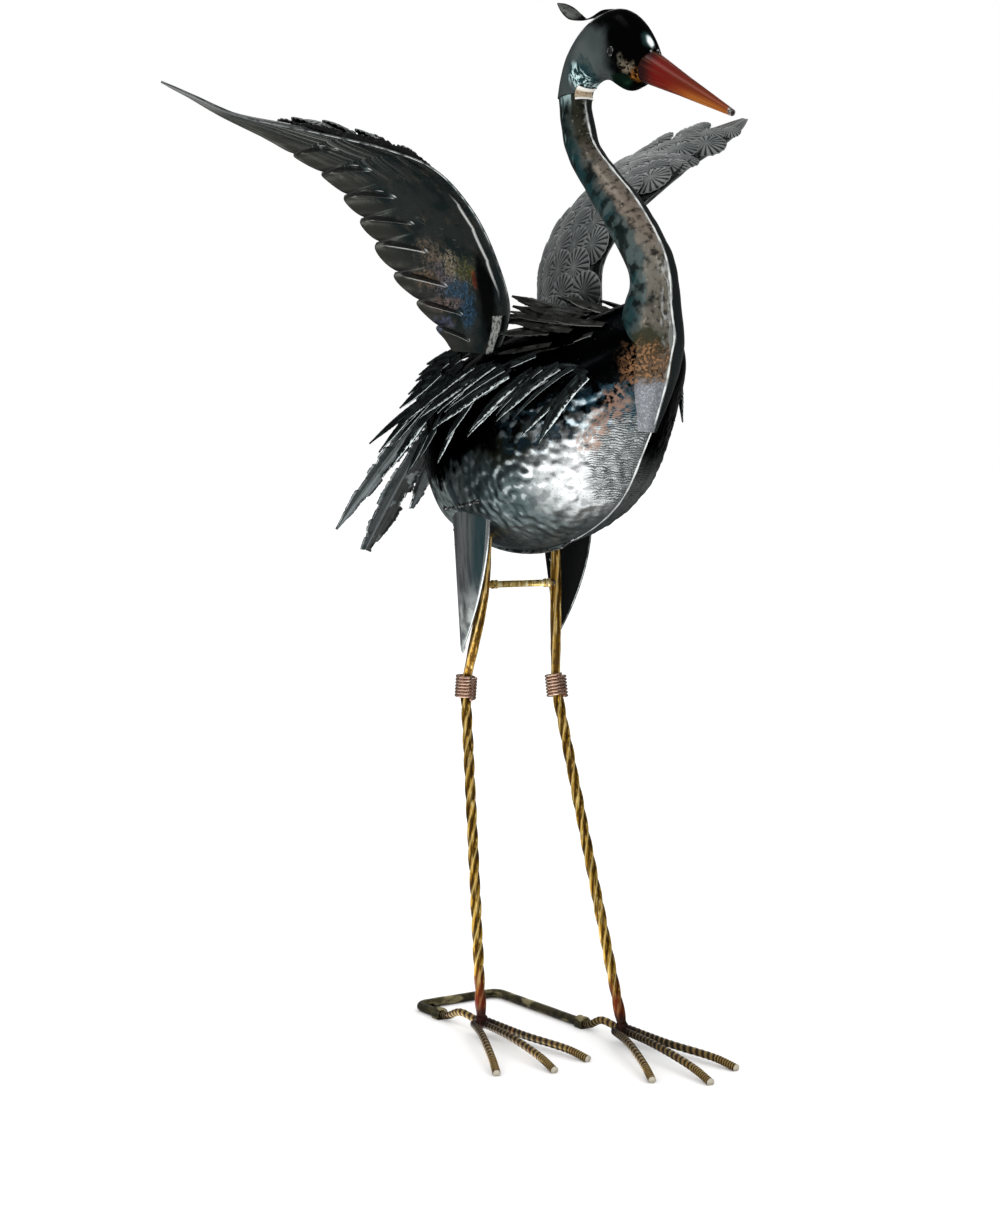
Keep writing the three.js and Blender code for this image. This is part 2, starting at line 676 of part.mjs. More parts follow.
for (const side of ['right', 'left']) {
  const foot = point(...ankle[side]);
  const bend = point(...knee[side]);
  const forward = point(...thighBend[side]);
  const lowerRun = bend.clone().sub(foot).normalize();
  const upperRun = forward.clone().sub(bend).normalize();
  const kneeGap = legBar * 0.3;
  const lowerTop = bend.clone().addScaledVector(lowerRun, -kneeGap);
  const upperFoot = bend.clone().addScaledVector(upperRun, kneeGap);
  const lowerSteps = Math.ceil((foot.distanceTo(lowerTop) / twistPitch) * (360 / twistStep));
  add(`lower_leg_${side}`, twistedBar(new THREE.LineCurve3(foot, lowerTop), twistPitch, lowerSteps), gold);
  const upperLine = new THREE.CatmullRomCurve3([upperFoot, forward, point(...hip[side])]);
  add(`upper_leg_${side}`, cut(twistedBar(upperLine, thighPitch, upperSteps), grownBody), gold);
  const wrap = add(`knee_wrap_${side}`, wrapGeometry(), copper);
  const wrapRun = lowerRun.clone().add(upperRun).normalize();
  const inward = upperRun.clone().sub(lowerRun).normalize();
  wrap.position.copy(bend).addScaledVector(wrapRun, -wrapHeight / 2).addScaledVector(inward, wrapShift);
  wrap.quaternion.setFromUnitVectors(point(0, 1, 0), wrapRun);
}

const ground = new THREE.BoxGeometry(4 * halfLength, 4 * halfSpan, loopRadius);
ground.translate(0, 0, -loopRadius / 2);
for (const side of ['right', 'left']) {
  const [x, y] = ankle[side];
  toeTips[side].forEach((tip, k) => {
    const offset = (k - 1) * (rodRadius * 2 + gap * 2);
    const root = [x + 1 - Math.abs(offset) * 0.2, y + offset];
    const place = ['inner', 'middle', 'outer'][side === 'right' ? 2 - k : k];
    const rod = rodGeometry(toeCurve(root, tip, toeArch[k]), rodRadius, toeSteps, toeSides);
    add(`toe_${side}_${place}`, cut(rod, ground), bronze);
  });
  const end = side === 'right' ? loop.endRight : loop.endLeft;
  const curve = backToeCurve(point(end + gap, loop[side], loopRadius), point(x - 0.8, y, toeHeight));
  add(`back_toe_${side}`, cut(rodGeometry(curve, rodRadius, toeSteps, toeSides), ground), bronze);
}

add('base_loop', rodGeometry(loopCurve(), loopRadius, 26, 8), bronze);
for (const side of ['right', 'left']) {
  const end = side === 'right' ? loop.endRight : loop.endLeft;
  const collar = collarGeometry().translate(end, loop[side], loopRadius);
  add(`loop_collar_${side}`, cut(collar, ground), bronze);
}

const barStart = point(...crossbar.right);
const barRun = point(...crossbar.left).sub(barStart);
const bar = add('leg_crossbar', crossbarGeometry(barRun.length()), gold);
bar.position.copy(barStart);
bar.quaternion.setFromUnitVectors(point(0, 1, 0), barRun.normalize());

export default statue;
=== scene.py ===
import math
import random

import bmesh
import bpy
from mathutils import Matrix, Vector, noise


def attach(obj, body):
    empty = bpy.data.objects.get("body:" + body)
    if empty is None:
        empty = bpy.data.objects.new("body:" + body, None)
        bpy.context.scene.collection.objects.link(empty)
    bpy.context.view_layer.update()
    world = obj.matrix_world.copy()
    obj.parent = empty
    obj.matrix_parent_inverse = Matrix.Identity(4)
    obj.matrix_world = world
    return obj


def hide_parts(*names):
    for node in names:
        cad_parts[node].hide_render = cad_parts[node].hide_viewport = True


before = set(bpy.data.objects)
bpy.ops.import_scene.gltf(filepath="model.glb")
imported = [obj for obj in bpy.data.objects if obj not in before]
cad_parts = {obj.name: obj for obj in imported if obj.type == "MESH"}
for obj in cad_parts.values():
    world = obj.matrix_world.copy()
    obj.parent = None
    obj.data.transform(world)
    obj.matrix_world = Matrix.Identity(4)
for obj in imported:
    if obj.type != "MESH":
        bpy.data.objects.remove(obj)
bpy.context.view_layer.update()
print("frame loaded:", len(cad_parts), "nodes")

mm = 0.001
up = Vector((0, 0, 1))
sides = (("right", -1), ("left", 1))


# numbers and curves that the pieces share, in millimetres
def mix(a, b, t):
    return a + (b - a) * t


def smooth(value, low, high):
    t = min(max((value - low) / (high - low), 0), 1)
    return t * t * (3 - 2 * t)


# smooth line through evenly spaced values, t from 0 to 1
def along(values, t):
    place = min(max(t, 0), 1) * (len(values) - 1)
    i = min(int(place), len(values) - 2)
    before = values[max(i - 1, 0)]
    after = values[min(i + 2, len(values) - 1)]
    f = place - i
    start = (values[i + 1] - before) / 2
    end = (after - values[i]) / 2
    rise = values[i + 1] - values[i]
    return values[i] + f * (start + f * (3 * rise - 2 * start - end + f * (start + end - 2 * rise)))


# every column of a table of stations, read at t
def stationsOf(table):
    columns = [list(column) for column in zip(*table)]
    return lambda t: [along(column, t) for column in columns]


# smooth curve through points that are unevenly spaced, as the solids use it
def curveThrough(points, closed=False):
    points = [Vector(p) for p in points]
    count = len(points)

    def at(i):
        if closed:
            return points[i % count]
        if i < 0:
            return points[0] * 2 - points[1]
        if i >= count:
            return points[-1] * 2 - points[-2]
        return points[i]

    def position(t):
        place = (t % 1 if closed else min(max(t, 0), 1)) * (count if closed else count - 1)
        i = int(place) if closed else min(int(place), count - 2)
        w = place - i
        p = [at(i + k) for k in (-1, 0, 1, 2)]
        gaps = [max((p[k + 1] - p[k]).length ** 0.5, 1e-4) for k in range(3)]
        start = (p[1] - p[0]) / gaps[0] - (p[2] - p[0]) / (gaps[0] + gaps[1]) + (p[2] - p[1]) / gaps[1]
        end = (p[2] - p[1]) / gaps[1] - (p[3] - p[1]) / (gaps[1] + gaps[2]) + (p[3] - p[2]) / gaps[2]
        start, end = start * gaps[1], end * gaps[1]
        rise = p[2] - p[1]
        return p[1] + start * w + (rise * 3 - start * 2 - end) * w ** 2 + (start + end - rise * 2) * w ** 3

    return position


# straight runs between close points, by distance
def lineThrough(points):
    points = [Vector(p) for p in points]
    marks = [0.0]
    for a, b in zip(points, points[1:]):
        marks.append(marks[-1] + (b - a).length)

    def position(t):
        distance = min(max(t, 0), 1) * marks[-1]
        i = 0
        while i < len(points) - 2 and marks[i + 1] < distance:
            i += 1
        return points[i].lerp(points[i + 1], (distance - marks[i]) / max(marks[i + 1] - marks[i], 1e-6))

    return position


# the same point on the bird's right (-1) or left (1)
def onSide(point, side):
    return Vector((point[0], point[1] * side, point[2]))


# every shape starts with a UV map and a tone, which its finish reads
def newShape():
    bm = bmesh.new()
    bm.loops.layers.uv.new("UVMap")
    bm.verts.layers.float.new("tone")
    return bm


# a grid whose points go where place(u, v) says; tone(u, v) is kept for the material, spread crowds the steps
def addGrid(bm, uSteps, vSteps, place, tone=None, spread=None):
    uvLayer = bm.loops.layers.uv["UVMap"]
    toneLayer = bm.verts.layers.float["tone"]
    verts = bmesh.ops.create_grid(bm, x_segments=uSteps, y_segments=vSteps, size=0.5)["verts"]
    for vert in verts:
        u = min(max(vert.co.x + 0.5, 0), 1)
        v = min(max(vert.co.y + 0.5, 0), 1)
        if spread:
            u, v = spread(u, v)
        for loop in vert.link_loops:
            loop[uvLayer].uv = (u, v)
        vert.co = place(u, v) * mm
        if tone:
            vert[toneLayer] = tone(u, v)
    return verts


# length of a path, in 40 straight steps
def lengthOf(path):
    return sum((path((k + 1) / 40) - path(k / 40)).length for k in range(40))


# joins points that meet
def weld(bm):
    bmesh.ops.remove_doubles(bm, verts=bm.verts, dist=2e-6)


# turns the faces one way, outward on a closed shape
def turnFaces(bm):
    bmesh.ops.recalc_face_normals(bm, faces=bm.faces)
    return bm


# fills the open ends; a grounded shape is pressed flat where it runs below the ground
def closeShape(bm, grounded=False):
    if grounded:
        for vert in bm.verts:
            vert.co.z = max(vert.co.z, 0)
    weld(bm)
    rims = [edge for edge in bm.edges if edge.is_boundary]
    bmesh.ops.holes_fill(bm, edges=rims, sides=0)
    return turnFaces(bm)


# rod of any section round a path; reach(u, angle) is the distance from its centre line
def addRod(bm, path, steps, around, reach, reference=up, tone=None):
    centres = [path(i / steps) for i in range(steps + 1)]

    def place(u, v):
        i = round(u * steps)
        run = (centres[min(i + 1, steps)] - centres[max(i - 1, 0)]).normalized()
        across = run.cross(reference).normalized()
        lift = across.cross(run)
        angle = v * 2 * math.pi
        return centres[i] + (across * math.cos(angle) + lift * math.sin(angle)) * reach(u, angle)

    addGrid(bm, steps, around, place, tone)


# turned shape from (radius, height) pairs; the first part of its UV is the height
def addTurned(bm, profile, around, place):
    tall = max(height for radius, height in profile)

    def turn(u, v):
        radius, height = profile[round(u * (len(profile) - 1))]
        angle = v * 2 * math.pi
        return place @ Vector((radius * math.cos(angle), radius * math.sin(angle), height))

    verts = addGrid(bm, len(profile) - 1, around, turn)
    uvLayer = bm.loops.layers.uv["UVMap"]
    for vert in verts:
        for loop in vert.link_loops:
            step = round(loop[uvLayer].uv.x * (len(profile) - 1))
            loop[uvLayer].uv.x = profile[step][1] / tall


# drops of weld, each a place and a radius; rough pushes their skin about
def addDrops(bm, drops, subdivisions=3, rough=0.0, pitch=420):
    for place, radius in drops:
        bmesh.ops.create_icosphere(bm, subdivisions=subdivisions, radius=radius * mm,
                                   matrix=Matrix.Translation(Vector(place) * mm))
    if rough:
        for vert in bm.verts:
            vert.co += vert.normal * (rough * mm * noise.noise(vert.co * pitch))


# frame at a point with its Z along a direction
def aimed(position, direction):
    turn = Vector(direction).to_track_quat("Z", "Y").to_matrix().to_4x4()
    return Matrix.Translation(Vector(position)) @ turn


# a sheet is given its gauge in mm, and edge is the finish of its cut edge
def addPiece(name, bm, finish, slot, replaces=(), sheet=0, edge=None):
    mesh = bpy.data.meshes.new(name)
    bm.to_mesh(mesh)
    bm.free()
    mesh.shade_smooth()
    piece = bpy.data.objects.new(name, mesh)
    bpy.context.scene.collection.objects.link(piece)
    mesh.materials.append(finish)
    if sheet:
        gauge = piece.modifiers.new("gauge", "SOLIDIFY")
        gauge.thickness = sheet * mm
        gauge.offset = 0
        if edge:
            mesh.materials.append(edge)
            gauge.material_offset_rim = 1
    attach(piece, "root")
    if replaces:
        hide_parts(*replaces)


# a piece that is one grid, closed to a solid or left open as a sheet
def gridPiece(name, uSteps, vSteps, place, finish, slot, replaces=(), closed=False, tone=None, **sheet):
    bm = newShape()
    addGrid(bm, uSteps, vSteps, place, tone)
    addPiece(name, closeShape(bm) if closed else bm, finish, slot, replaces, **sheet)


def rodPiece(name, path, steps, around, reach, finish, slot, replaces=(), grounded=False, **settings):
    bm = newShape()
    addRod(bm, path, steps, around, reach, **settings)
    addPiece(name, closeShape(bm, grounded), finish, slot, replaces)


def turnedPiece(name, profile, around, place, finish, slot, replaces=(), grounded=False):
    bm = newShape()
    addTurned(bm, profile, around, place)
    addPiece(name, closeShape(bm, grounded), finish, slot, replaces)


def dropPiece(name, drops, finish, slot, **settings):
    bm = newShape()
    addDrops(bm, drops, **settings)
    addPiece(name, bm, finish, slot)


# one material, painted in layers from a base colour up; sizes and places are in millimetres
class Finish:
    def __init__(self, name, colour, roughness, metallic, coat=0.0, gloss=0.5, edge=1.0):
        self.material = bpy.data.materials.new(name)
        self.material.use_nodes = True
        self.tree = self.material.node_tree
        self.shader = self.tree.nodes["Principled BSDF"]
        self.shader.inputs["Coat Weight"].default_value = coat
        self.shader.inputs["Coat Roughness"].default_value = 0.15
        self.shader.inputs["Specular IOR Level"].default_value = gloss
        self.shader.inputs["Specular Tint"].default_value = (edge, edge, edge, 1)
        self.layers = {"Base Color": self.tint(colour), "Roughness": roughness, "Metallic": metallic}
        self.normal = None
        places = self.node("ShaderNodeTexCoord")
        self.place = self.vector("SCALE", places.outputs["Object"], scale=1 / mm)
        self.uv = places.outputs["UV"]
        self.x, self.y, self.z = self.node("ShaderNodeSeparateXYZ", {0: self.place}).outputs
        self.u, self.v = self.node("ShaderNodeSeparateXYZ", {0: self.uv}).outputs[:2]
        # both halves of the bird folded on to its left
        folded = self.node("ShaderNodeCombineXYZ", {0: self.x, 1: self.math("ABSOLUTE", self.y), 2: self.z})
        self.mirrored = folded.outputs[0]

    # a grey is given as one number
    def tint(self, colour):
        return (*(colour if isinstance(colour, tuple) else (colour,) * 3), 1)

    def node(self, kind, inputs=None, **settings):
        made = self.tree.nodes.new(kind)
        for key, value in settings.items():
            setattr(made, key, value)
        for key, value in (inputs or {}).items():
            if isinstance(value, bpy.types.NodeSocket):
                self.tree.links.new(value, made.inputs[key])
            else:
                made.inputs[key].default_value = value
        return made

    def math(self, operation, first, second=0.0, third=0.0):
        return self.node("ShaderNodeMath", {0: first, 1: second, 2: third}, operation=operation).outputs[0]

    def vector(self, operation, first, second=(0, 0, 0), scale=1.0):
        made = self.node("ShaderNodeVectorMath", {0: first, 1: second, 3: scale}, operation=operation)
        return made.outputs["Value" if operation in ("LENGTH", "DOT_PRODUCT") else "Vector"]

    def tone(self):
        return self.node("ShaderNodeAttribute", attribute_name="tone").outputs["Fac"]

    # 0 below low, 1 above high; low may be the greater
    def smooth(self, value, low, high):
        inputs = {"Value": value, "From Min": low, "From Max": high}
        return self.node("ShaderNodeMapRange", inputs, interpolation_type="SMOOTHSTEP").outputs[0]

    # grain of a size in mm; stretch makes it longer along an axis
    def grain(self, size, detail=3.0, stretch=(1, 1, 1), source=None, distortion=0.0, shift=0.0):
        vector = self.vector("DIVIDE", source or self.place, tuple(size * s for s in stretch))
        if shift:
            vector = self.vector("ADD", vector, (shift, shift, shift))
        inputs = {"Vector": vector, "Scale": 1.0, "Detail": detail, "Distortion": distortion}
        return self.node("ShaderNodeTexNoise", inputs).outputs[0]

    # the same grain turned into patches
    def patches(self, size, low, high, detail=3.0, **settings):
        return self.smooth(self.grain(size, detail, **settings), low, high)

    # a value pushed up and down by grain, by half of amount each way
    def ragged(self, value, size, amount, detail=4.0, shift=0.0):
        wave = self.grain(size, detail, shift=shift)
        return self.math("ADD", value, self.math("MULTIPLY_ADD", wave, amount, -amount / 2))

    # distance of a UV value from the middle of the piece
    def fromMiddle(self, value):
        return self.math("ABSOLUTE", self.math("SUBTRACT", value, 0.5))

    # soft spot on both sides of the bird, or on one
    def spot(self, centre, radii, soft=0.35, wobble=0.3, oneSide=False, size=9.0):
        offset = self.vector("SUBTRACT", self.place if oneSide else self.mirrored, centre)
        distance = self.vector("LENGTH", self.vector("DIVIDE", offset, radii))
        return self.smooth(self.ragged(distance, size, wobble * 3), 1 + soft, 1 - soft)

    # 0 to 1 along a direction, between two distances
    def slope(self, direction, low, high, wobble=0.0, size=9.0):
        value = self.vector("DOT_PRODUCT", self.place, direction)
        if wobble:
            value = self.ragged(value, size, wobble * 3)
        return self.smooth(value, low, high)

    def both(self, first, *others):
        for other in others:
            first = self.math("MULTIPLY", first, other)
        return first

    # one more layer where the mask, or each of several masks, is 1
    def paint(self, mask, colour, roughness=None, metallic=None, amount=1.0):
        if isinstance(mask, tuple):
            mask = self.both(*mask)
        if amount != 1.0:
            mask = self.math("MULTIPLY", mask, amount)
        inputs = {0: mask, 6: self.layers["Base Color"], 7: self.tint(colour)}
        self.layers["Base Color"] = self.node("ShaderNodeMix", inputs, data_type="RGBA").outputs[2]
        for name, value in (("Roughness", roughness), ("Metallic", metallic)):
            if value is not None:
                inputs = {0: mask, 2: self.layers[name], 3: value}
                self.layers[name] = self.node("ShaderNodeMix", inputs).outputs[0]

    def relief(self, height, depth, strength=1.0):
        inputs = {"Height": height, "Distance": depth * mm, "Strength": strength}
        if self.normal:
            inputs["Normal"] = self.normal
        self.normal = self.node("ShaderNodeBump", inputs).outputs[0]

    def uneven(self, size, depth, strength, detail=3):
        self.relief(self.grain(size, detail), depth, strength)

    def done(self):
        for name, value in self.layers.items():
            if isinstance(value, bpy.types.NodeSocket):
                self.tree.links.new(value, self.shader.inputs[name])
            else:
                self.shader.inputs[name].default_value = value
        if self.normal:
            self.tree.links.new(self.normal, self.shader.inputs["Normal"])
        return self.material


# bare cut edge of the sheets
def cutEdgeFinish():
    steel = Finish("cut_edge", (0.62, 0.66, 0.66), 0.28, 1.0)
    steel.paint(steel.patches(6, 0.45, 0.62), (0.12, 0.14, 0.14), 0.4)
    return steel.done()


def bodyFinish():
    steel = Finish("body_steel", (0.110, 0.132, 0.135), 0.36, 0.95, edge=0.35)
    dent = steel.ragged(steel.tone(), 3.5, 1.2, detail=3, shift=6)
    steel.paint(steel.patches(24, 0.35, 0.62, 4), (0.20, 0.235, 0.24), 0.34)
    steel.paint(steel.spot((16, 50, 330), (36, 30, 34)), (0.055, 0.085, 0.09), 0.3, amount=0.75)
    # the hammer marks: a painted highlight on the side that faces down, painted shade on the other
    struck = steel.smooth(dent, 0.12, 0.75)
    paintedDentShade = steel.smooth(dent, -0.15, -0.75)
    steel.paint(struck, (0.38, 0.44, 0.45), 0.30, 1.0, amount=0.65)
    # painted highlight: a soft pool of light on the belly, brighter still on the marks that face down
    lit = steel.spot((62, 22, 336), (27, 26, 27), soft=0.75, wobble=0.4, size=14)
    steel.paint(lit, (0.86, 0.88, 0.88), 0.31, 1.0, amount=0.9)
    steel.paint((steel.spot((58, 34, 342), (36, 26, 24), soft=0.6), struck), (0.88, 0.91, 0.92), 0.28, 1.0)
    steel.paint(paintedDentShade, (0.030, 0.042, 0.044), 0.34, amount=0.5)
    dots = steel.patches(1.2, 0.60, 0.68, 2)
    steel.paint((dots, steel.spot((58, 24, 336), (42, 34, 34))), (0.03, 0.03, 0.03), 0.45, amount=0.4)
    # rear end, streaked from top to bottom
    rear = steel.slope((-1, 0, 0), 30, 42, wobble=6)
    streak = steel.grain(3.2, 4, stretch=(1, 1, 9))
    steel.paint(rear, (0.16, 0.20, 0.195), 0.38, 0.5)
    steel.paint((rear, steel.smooth(streak, 0.45, 0.65)), (0.045, 0.052, 0.055), 0.4, amount=0.85)
    steel.paint((rear, steel.smooth(streak, 0.42, 0.34)), (0.30, 0.34, 0.34), 0.38, 0.4, amount=0.6)
    crease = steel.both(steel.smooth(steel.x, -45, -41), steel.smooth(steel.x, -30, -35),
                        steel.patches(9, 0.3, 0.5))
    steel.paint(crease, (0.012, 0.022, 0.032), 0.35, amount=0.85)
    # breast: fine lines across the sheet
    breast = steel.spot((80, 8, 336), (24, 18, 32), soft=0.3, wobble=0.15)
    ragged = steel.math("MULTIPLY_ADD", steel.grain(7, 3), 5.0, steel.z)
    lines = steel.math("SINE", steel.math("MULTIPLY", ragged, 2 * math.pi / 1.35))
    patchy = steel.patches(3, 0.36, 0.56, 4, stretch=(2, 2, 1), shift=3)
    steel.paint(breast, (0.50, 0.53, 0.53), 0.34, amount=0.7)
    steel.paint((breast, steel.smooth(lines, -0.2, 0.9), patchy), (0.03, 0.032, 0.035), 0.4, amount=0.7)
    # black upper half with a ragged lower border
    border = (-0.30, 0, 1)
    steel.paint(steel.spot((24, 56, 352), (24, 18, 13), wobble=0.5), (0.022, 0.024, 0.012), 0.3, amount=0.9)
    black = steel.slope(border, 339, 348, wobble=12, size=11)
    steel.paint(black, (0.0035, 0.004, 0.0045), 0.22, 1.0)
    rim = steel.both(steel.slope(border, 329, 336, 5), steel.slope(border, 359, 352, 5),
                     steel.smooth(steel.x, 22, 36))
    deep = steel.patches(5.5, 0.46, 0.56, 4, shift=5)
    steel.paint((rim, deep), (0.035, 0.085, 0.12), 0.22, 1.0, amount=0.85)
    # painted highlight on the marks that face down along the border
    steel.paint((rim, struck), (0.62, 0.74, 0.78), 0.22, 1.0, amount=0.8)
    # painted glints on the black
    sparkle = steel.patches(1.3, 0.72, 0.76, 2, shift=2)
    steel.paint((black, sparkle), (0.30, 0.31, 0.31), 0.3, amount=0.7)
    # copper trail and rust below the neck
    trail = steel.patches(2.6, 0.40, 0.54, 4, shift=8)
    for centre, radii in (((71, 27, 351), (7, 7, 6)), ((77, 24, 361), (6, 7, 8)), ((86, 19, 372), (6, 7, 10))):
        mask = steel.both(steel.spot(centre, radii, wobble=0.5, size=5), trail)
        steel.paint(mask, (0.34, 0.20, 0.14), 0.45, 0.4, amount=0.75)
    rust = steel.spot((97, 13, 391), (9, 9, 11), soft=0.6, wobble=0.6, size=5)
    steel.paint((rust, steel.patches(1.8, 0.44, 0.54, 4, shift=3)), (0.24, 0.115, 0.05), 0.6, 0.3, amount=0.9)
    # painted shade: the far half of the breast is painted dark beside the seam
    farHalfShade = steel.both(steel.smooth(steel.y, 0.6, 2.0), steel.slope((0, 0, 1), 325, 350, 5))
    steel.paint(farHalfShade, (0.0035, 0.006, 0.005), 0.24, 1.0)
    nose = steel.both(steel.smooth(steel.x, 102, 106), steel.smooth(steel.z, 396, 400))
    steel.paint(nose, (0.20, 0.21, 0.20), 0.4, 0.4)
    steel.relief(steel.both(lines, breast), 0.2, 0.6)
    steel.uneven(1.1, 0.1, 0.35)
    steel.uneven(6, 0.8, 0.3)
    return steel.done()


def neckFinish():
    patina = Finish("neck_patina", (0.15, 0.13, 0.11), 0.34, 0.5, edge=0.5)
    # share round the section: 0 at the back, 1 at the front seam
    front = patina.ragged(patina.math("MULTIPLY", patina.fromMiddle(patina.v), 2.0), 7, 0.40, detail=5)
    u = patina.ragged(patina.u, 14, 0.16, detail=3, shift=4)
    tan = patina.node("ShaderNodeValToRGB", {0: u})
    stops = [(0.0, (0.26, 0.27, 0.275)), (0.14, (0.24, 0.23, 0.20)), (0.24, (0.16, 0.145, 0.115)),
             (0.36, (0.23, 0.215, 0.18)), (0.5, (0.25, 0.205, 0.165)), (0.66, (0.21, 0.18, 0.145)),
             (0.8, (0.060, 0.055, 0.038)), (0.97, (0.024, 0.026, 0.016))]
    for index, (position, colour) in enumerate(stops):
        stop = tan.color_ramp.elements[index] if index < 2 else tan.color_ramp.elements.new(position)
        stop.position = position
        stop.color = (*colour, 1)
    patina.layers["Base Color"] = tan.outputs[0]
    mottle = patina.patches(3.6, 0.47, 0.72, 5)
    patina.paint(mottle, (0.016, 0.016, 0.012), 0.42, amount=0.95)
    patina.paint(patina.patches(2.0, 0.62, 0.7, shift=6), (0.45, 0.42, 0.38), 0.3, amount=0.5)
    # dark teal strip down the back, with blotches and a paler line in it
    patina.paint(patina.smooth(front, 0.74, 0.62), (0.065, 0.085, 0.085), 0.32)
    patina.paint(patina.smooth(front, 0.64, 0.52), (0.012, 0.050, 0.056), 0.26)
    paler = patina.both(patina.smooth(front, 0.72, 0.6), patina.smooth(u, 0.22, 0.3),
                        patina.smooth(u, 0.66, 0.5))
    patina.paint((paler, patina.patches(8, 0.38, 0.55, shift=11)), (0.11, 0.15, 0.145), 0.3, amount=0.85)
    dull = patina.both(patina.smooth(front, 0.76, 0.6), patina.smooth(u, 0.74, 0.88))
    patina.paint(dull, (0.014, 0.026, 0.020), 0.3, amount=0.7)
    blotch = patina.patches(7, 0.44, 0.62, 4, shift=8)
    patina.paint((patina.smooth(front, 0.80, 0.66), blotch), (0.003, 0.007, 0.006), 0.26, amount=0.9)
    streak = patina.patches(2.6, 0.56, 0.66, stretch=(1, 1, 7), shift=2)
    patina.paint((patina.smooth(front, 0.60, 0.48), streak, patina.smooth(u, 0.72, 0.85)),
                 (0.30, 0.42, 0.43), 0.26)
    cyan = patina.both(patina.smooth(patina.u, 0.93, 1.0), patina.smooth(patina.x, 17, 24),
                       patina.patches(2.0, 0.46, 0.58, stretch=(1, 1, 6), shift=3))
    patina.paint((patina.smooth(front, 0.8, 0.7), cyan), (0.50, 0.68, 0.68), 0.4, 0.2, amount=0.7)
    # light strip beside the seam, whitish scratches low down, short dark strokes along it
    patina.paint((patina.smooth(front, 0.93, 1.0), patina.patches(6, 0.4, 0.6, 4, shift=2)),
                 (0.30, 0.30, 0.29), 0.28)
    wave = patina.math("MULTIPLY_ADD", patina.grain(6, 2), 9.0, patina.math("MULTIPLY", patina.u, 170))
    strokes = patina.smooth(patina.math("SINE", wave), 0.45, 0.9)
    patina.paint((strokes, patina.smooth(front, 0.80, 0.92), patina.patches(5, 0.44, 0.54)),
                 (0.012, 0.011, 0.010), 0.4, amount=0.8)
    low = patina.both(patina.smooth(u, 0.42, 0.32), patina.smooth(front, 0.83, 0.93))
    scratch = patina.patches(2.2, 0.48, 0.6, 4, stretch=(1, 1, 3), shift=1)
    patina.paint((low, scratch), (0.55, 0.57, 0.56), 0.3, amount=0.85)
    # two worn holes
    for centre, size in (((110, 8, 440), 1.3), ((106, 5, 426), 0.6)):
        patina.paint(patina.spot(centre, (size * 1.6,) * 3, wobble=0.05), (0.35, 0.34, 0.31), 0.4, 0.2)
        patina.paint(patina.spot(centre, (size,) * 3, wobble=0.05), (0.003, 0.003, 0.003), 0.5)
    # rust and olive above the lip, grey engraved lip
    olive = patina.spot((104, 12, 403), (12, 10, 9), wobble=0.5, size=5)
    patina.paint(olive, (0.030, 0.034, 0.014), 0.45, amount=0.9)
    rust = patina.spot((102, 9, 392), (14, 13, 11), soft=0.5, wobble=0.7, size=5)
    patina.paint(rust, (0.090, 0.050, 0.022), 0.6, 0.35, amount=0.9)
    patina.paint((rust, patina.patches(1.6, 0.5, 0.6, 4, shift=3)), (0.30, 0.155, 0.070), 0.55, 0.3, amount=0.9)
    patina.paint((rust, patina.patches(2.4, 0.56, 0.64, 4, shift=9)), (0.03, 0.02, 0.012), 0.5)
    lip = patina.slope((0, 0, -1), -386, -379, wobble=4, size=5)
    patina.paint(lip, (0.19, 0.20, 0.215), 0.36)
    veins = patina.patches(1.5, 0.50, 0.57, distortion=1.5)
    patina.paint((lip, veins), (0.36, 0.38, 0.42), 0.3, amount=0.8)
    # painted shade: the far half is painted dark beside the seam
    farHalfShade = patina.both(patina.smooth(patina.y, 0.7, 1.6), patina.smooth(patina.v, 0.30, 0.26))
    patina.paint(farHalfShade, (0.012, 0.016, 0.016), 0.26)
    patina.relief(patina.both(lip, veins), 0.15, 0.5)
    patina.uneven(1.6, 0.12, 0.4, 4)
    patina.uneven(9, 0.8, 0.3)
    return patina.done()


